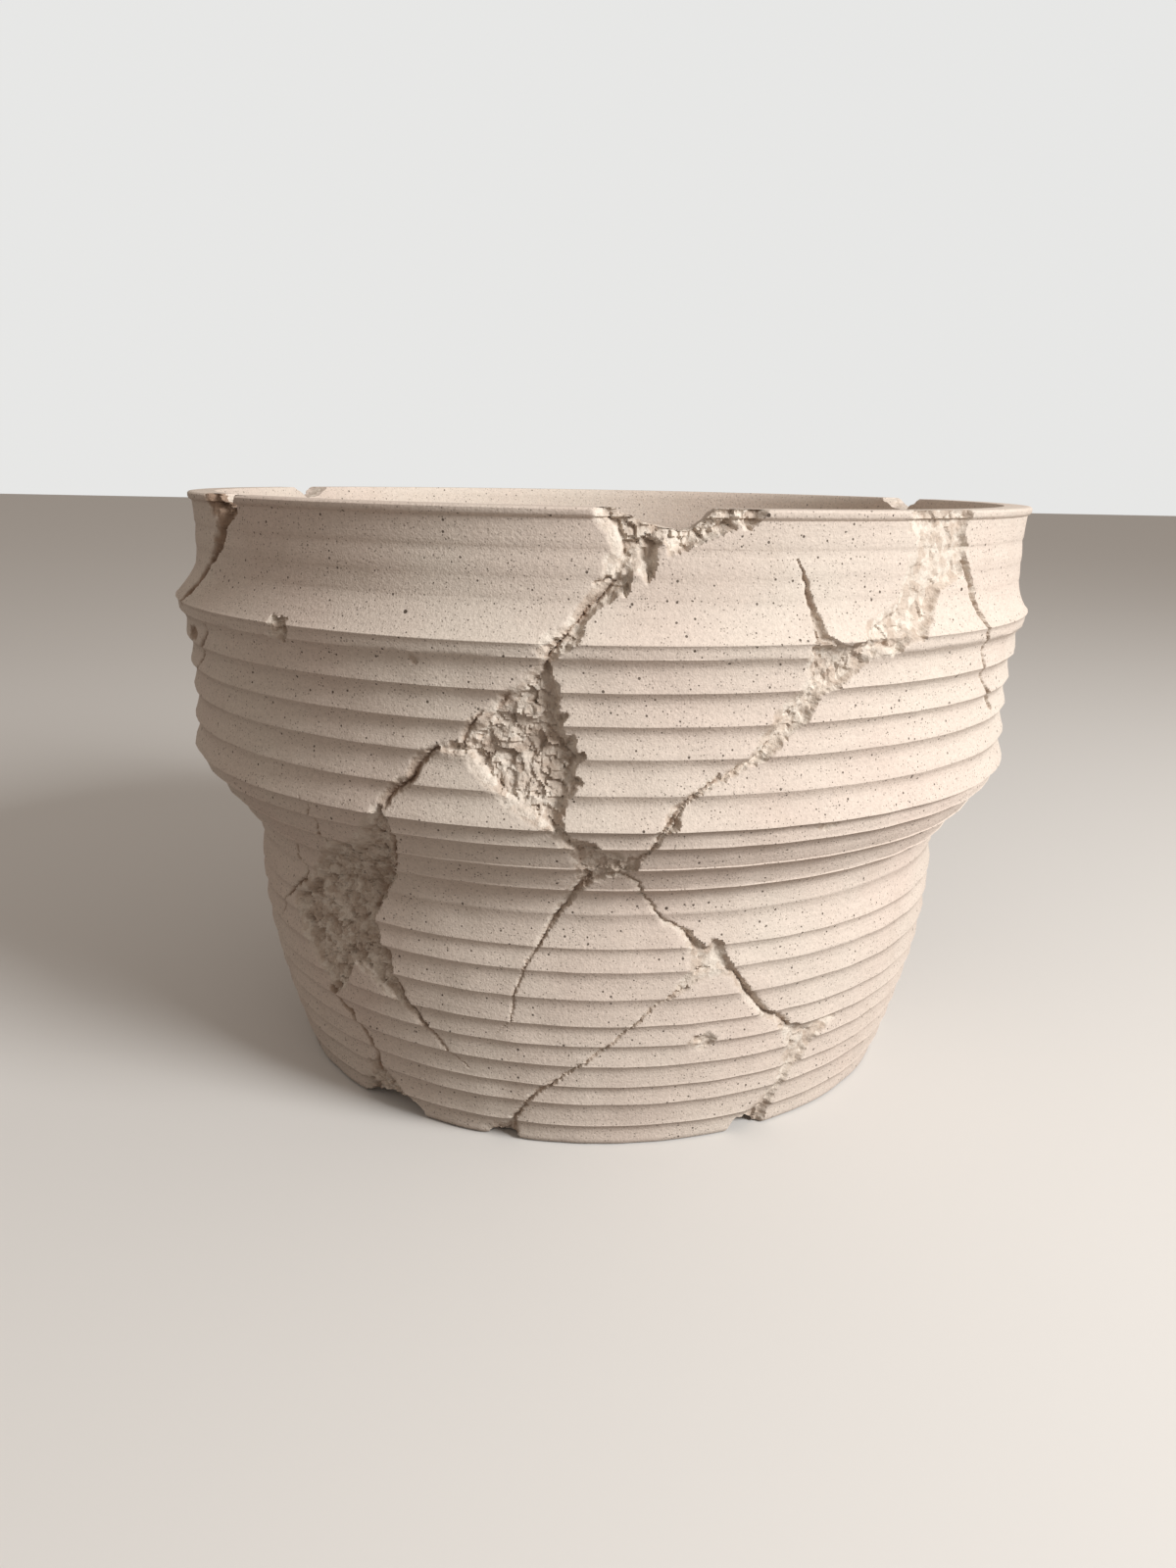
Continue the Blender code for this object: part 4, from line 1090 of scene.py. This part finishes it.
# %% The colours of clay, specks and painted shade
SKIN_CREAM = (0.680, 0.605, 0.530, 1.0)
SKIN_PINK = (0.660, 0.560, 0.490, 1.0)
SKIN_SHADE = (0.570, 0.490, 0.415, 1.0)
BROKEN_CREAM = (0.720, 0.650, 0.570, 1.0)
BROKEN_TAN = (0.600, 0.510, 0.430, 1.0)
BROKEN_BROWN = (0.460, 0.360, 0.285, 1.0)
SPECK_BROWN = (0.105, 0.080, 0.062, 1.0)
# The brown of the painted shade in cracks, hollows and shaded places.
SHADE_BROWN = (0.290, 0.190, 0.130, 1.0)
print("Pale clay", SKIN_CREAM[:3], "with specks of", SPECK_BROWN[:3])

# %% The clay's colour
DRIFT, CLOUD, BLOTCH = (0.045, 3.0), (0.011, 4.0), (0.0045, 4.0)
GRAIN, FINE_GRAIN, RINGS, RING_STRETCH = (0.0009, 2.0), (0.00042, 1.0), (0.0011, 2.0), (0.05, 0.05, 1.0)
PINK_FROM, SHADE_FROM, TAN_FROM, BROWN_FROM = (0.35, 3.0), (0.58, 2.2), (0.42, 3.2), (0.66, 9.0)
COLOUR_SWINGS = (0.34, 0.22, 0.10)
FACET_LUMPS = ((0.0034, 0.50), (0.0017, 0.40))

clay = Finish(bpy.data.materials.new("speckled_clay"))
is_broken = clay.attribute("broken")
# How much painted shade each point has.
is_painted_shade = clay.attribute("painted_shade")
drift, cloud, blotch = (clay.noise(*layer) for layer in (DRIFT, CLOUD, BLOTCH))
grain, fine = (clay.noise(*layer) for layer in (GRAIN, FINE_GRAIN))
stretched = clay.node("ShaderNodeMapping", {}, {"Vector": clay.place(), "Scale": RING_STRETCH})
turning = clay.noise(*RINGS, stretched)


def swings(shares):
    """The three fine layers together, each swinging up and down about 0 by its share."""
    return sum((layer - 0.5) * share for layer, share in zip((grain, fine, turning), shares))


skin_colour = clay.mix(drift.above(*PINK_FROM), SKIN_CREAM, SKIN_PINK)
skin_colour = clay.mix(cloud.above(*SHADE_FROM), skin_colour, SKIN_SHADE)
fresh_colour = clay.mix(blotch.above(*TAN_FROM), BROKEN_CREAM, BROKEN_TAN)
for lump, share in FACET_LUMPS:
    facet = clay.own_value(lump)
    fresh_colour = clay.mix(facet.above(*BROWN_FROM) * share, fresh_colour, BROKEN_BROWN)
colour = clay.mix(is_broken, skin_colour, fresh_colour)
shade = swings(COLOUR_SWINGS) + 1.0
grey = clay.node("ShaderNodeCombineColor", {}, {0: shade, 1: shade, 2: shade})
colour = clay.mix(1.0, colour, grey, "MULTIPLY")
print("The clay's colour has", len(clay.tree.nodes), "nodes")

# %% The clay's specks, painted shade and surface
DUST = (0.0007, 0.00004, 0.00021, 1.0)
DOTS = (0.0019, 0.0, 0.00038, 1.3)
GRAINS = (0.0085, 0.0, 0.00060, 2.5)
PATCHES, PATCHES_FROM, PITS = (0.006, 3.0), (0.36, 3.0), (0.0011, 3.0)
# The last of these sets how far the painted shade darkens the clay.
DUST_SPREAD, DUST_LEAST, DOT_STRENGTH, LOST_WHEN_BROKEN, PAINTED_SHADE_STRENGTH = 0.5, 0.45, 0.9, 0.72, 0.85
RELIEF_SWINGS, SPECK_PITS, DOT_PITS, BROKEN_PITS = (0.5, 0.35, 0.35), 0.9, 0.5, 1.6
BUMP_STRENGTH, BUMP_HEIGHT = 0.85, 0.00028
ROUGH, ROUGH_SWING, SHEEN = 0.90, 0.12, 0.25

dust, dots, grains = (specks(clay, *layer) for layer in (DUST, DOTS, GRAINS))
patchy = clay.noise(*PATCHES).above(*PATCHES_FROM)
skin_only = 1 - is_broken * LOST_WHEN_BROKEN
speckle = (dust * (patchy * DUST_SPREAD + DUST_LEAST) + dots * DOT_STRENGTH + grains).held() * skin_only
colour = clay.mix(speckle, colour, SPECK_BROWN)
# Painted shade, tinted brown, in the cracks, the hollows and the shaded places.
colour = clay.mix(is_painted_shade * PAINTED_SHADE_STRENGTH, colour, SHADE_BROWN)

relief = swings(RELIEF_SWINGS) - (grains + dots * DOT_PITS) * SPECK_PITS
relief = relief + is_broken * (clay.noise(*PITS) - 0.5) * BROKEN_PITS
bump = clay.node("ShaderNodeBump", {}, {
    "Strength": BUMP_STRENGTH, "Distance": BUMP_HEIGHT, "Height": relief})
surface = clay.node("ShaderNodeBsdfPrincipled", {}, {
    "Base Color": colour, "Roughness": (ROUGH + (grain - 0.5) * ROUGH_SWING).held(), "Normal": bump,
    "Specular IOR Level": SHEEN})
clay.show(surface)
pot.data.materials.clear()
pot.data.materials.append(clay.owner)
print("The clay has", len(clay.tree.nodes), "nodes")

# %% [markdown]
# The pot stands on a plain pale floor under soft studio light. A broad lamp to the upper right
# gives the picture its light side and its shadows, as a window would, and the world fills the
# rest. The floor is pale only where the camera sees it and throws less light back at the pot, so
# the undersides of the ribs stay in shade. The camera is where the picture was taken from: close,
# a little above the rim, tilted down, and turned about its own axis by a degree.

# %% The floor
FLOOR_SIZE, FLOOR_DROP, FLOOR_ROUGH = 12.0, 0.0004, 0.9
FLOOR_PALE, FLOOR_BOUNCE = (0.74, 0.73, 0.71, 1.0), (0.26, 0.23, 0.21, 1.0)

start_fresh()
bpy.ops.mesh.primitive_plane_add(size=FLOOR_SIZE, location=(0, 0, -FLOOR_DROP))
floor = bpy.context.object
floor.name = "floor"
ground = Finish(bpy.data.materials.new("pale_floor"))
seen = ground.node("ShaderNodeLightPath", {}, {})
matt = ground.node("ShaderNodeBsdfPrincipled", {}, {
    "Base Color": ground.mix(seen, FLOOR_BOUNCE, FLOOR_PALE), "Roughness": FLOOR_ROUGH})
ground.show(matt)
floor.data.materials.append(ground.owner)
print("The floor is", FLOOR_SIZE, "m wide")

# %% The light
KEY_PLACE, KEY_TARGET = Vector((0.95, -0.74, 0.76)), Vector((0, 0, 0.09))
KEY_SIZE, KEY_POWER, KEY_COLOUR = 0.50, 20.8, (1.0, 0.995, 0.985)
SKY_PALE, SKY_FILL, FILL_STRENGTH = (0.80, 0.80, 0.79, 1.0), (1.0, 0.88, 0.78, 1.0), 0.40

lamp = bpy.data.lights.new("window", "AREA")
lamp.size = KEY_SIZE
lamp.energy = KEY_POWER
lamp.color = KEY_COLOUR
window = bpy.data.objects.new("window", lamp)
window.location = KEY_PLACE
window.rotation_euler = (KEY_TARGET - KEY_PLACE).to_track_quat("-Z", "Y").to_euler()
bpy.context.scene.collection.objects.link(window)

sky = Finish(bpy.data.worlds.new("studio"))
fill = sky.node("ShaderNodeBackground", {}, {"Color": SKY_FILL, "Strength": FILL_STRENGTH})
pale = sky.node("ShaderNodeBackground", {}, {"Color": SKY_PALE})
seen = sky.node("ShaderNodeLightPath", {}, {})
sky.show(sky.node("ShaderNodeMixShader", {}, {0: seen, 1: fill, 2: pale}), "World")
bpy.context.scene.world = sky.owner
print("One lamp of", KEY_POWER, "W, and a fill of", FILL_STRENGTH)

# %% The camera
PHOTO_HEIGHT = 1600
FOCAL_PIXELS = 1222
SENSOR = 36.0
CAMERA_PLACE = Vector((-0.0028, -0.3698, 0.1697))
PITCH_DOWN, ROLL = math.radians(14.65), math.radians(1.09)

camera_data = bpy.data.cameras.new("camera")
camera_data.sensor_width = SENSOR
camera_data.lens = FOCAL_PIXELS * SENSOR / PHOTO_HEIGHT
camera = bpy.data.objects.new("camera", camera_data)
tilt = Matrix.Rotation(math.radians(90) - PITCH_DOWN, 4, "X") @ Matrix.Rotation(ROLL, 4, "Z")
camera.matrix_world = Matrix.Translation(CAMERA_PLACE) @ tilt
bpy.context.scene.collection.objects.link(camera)
bpy.context.scene.camera = camera
bpy.context.scene.view_settings.view_transform = "Standard"
print("Lens", round(camera_data.lens, 2), "mm, camera", [round(v, 3) for v in camera.location])
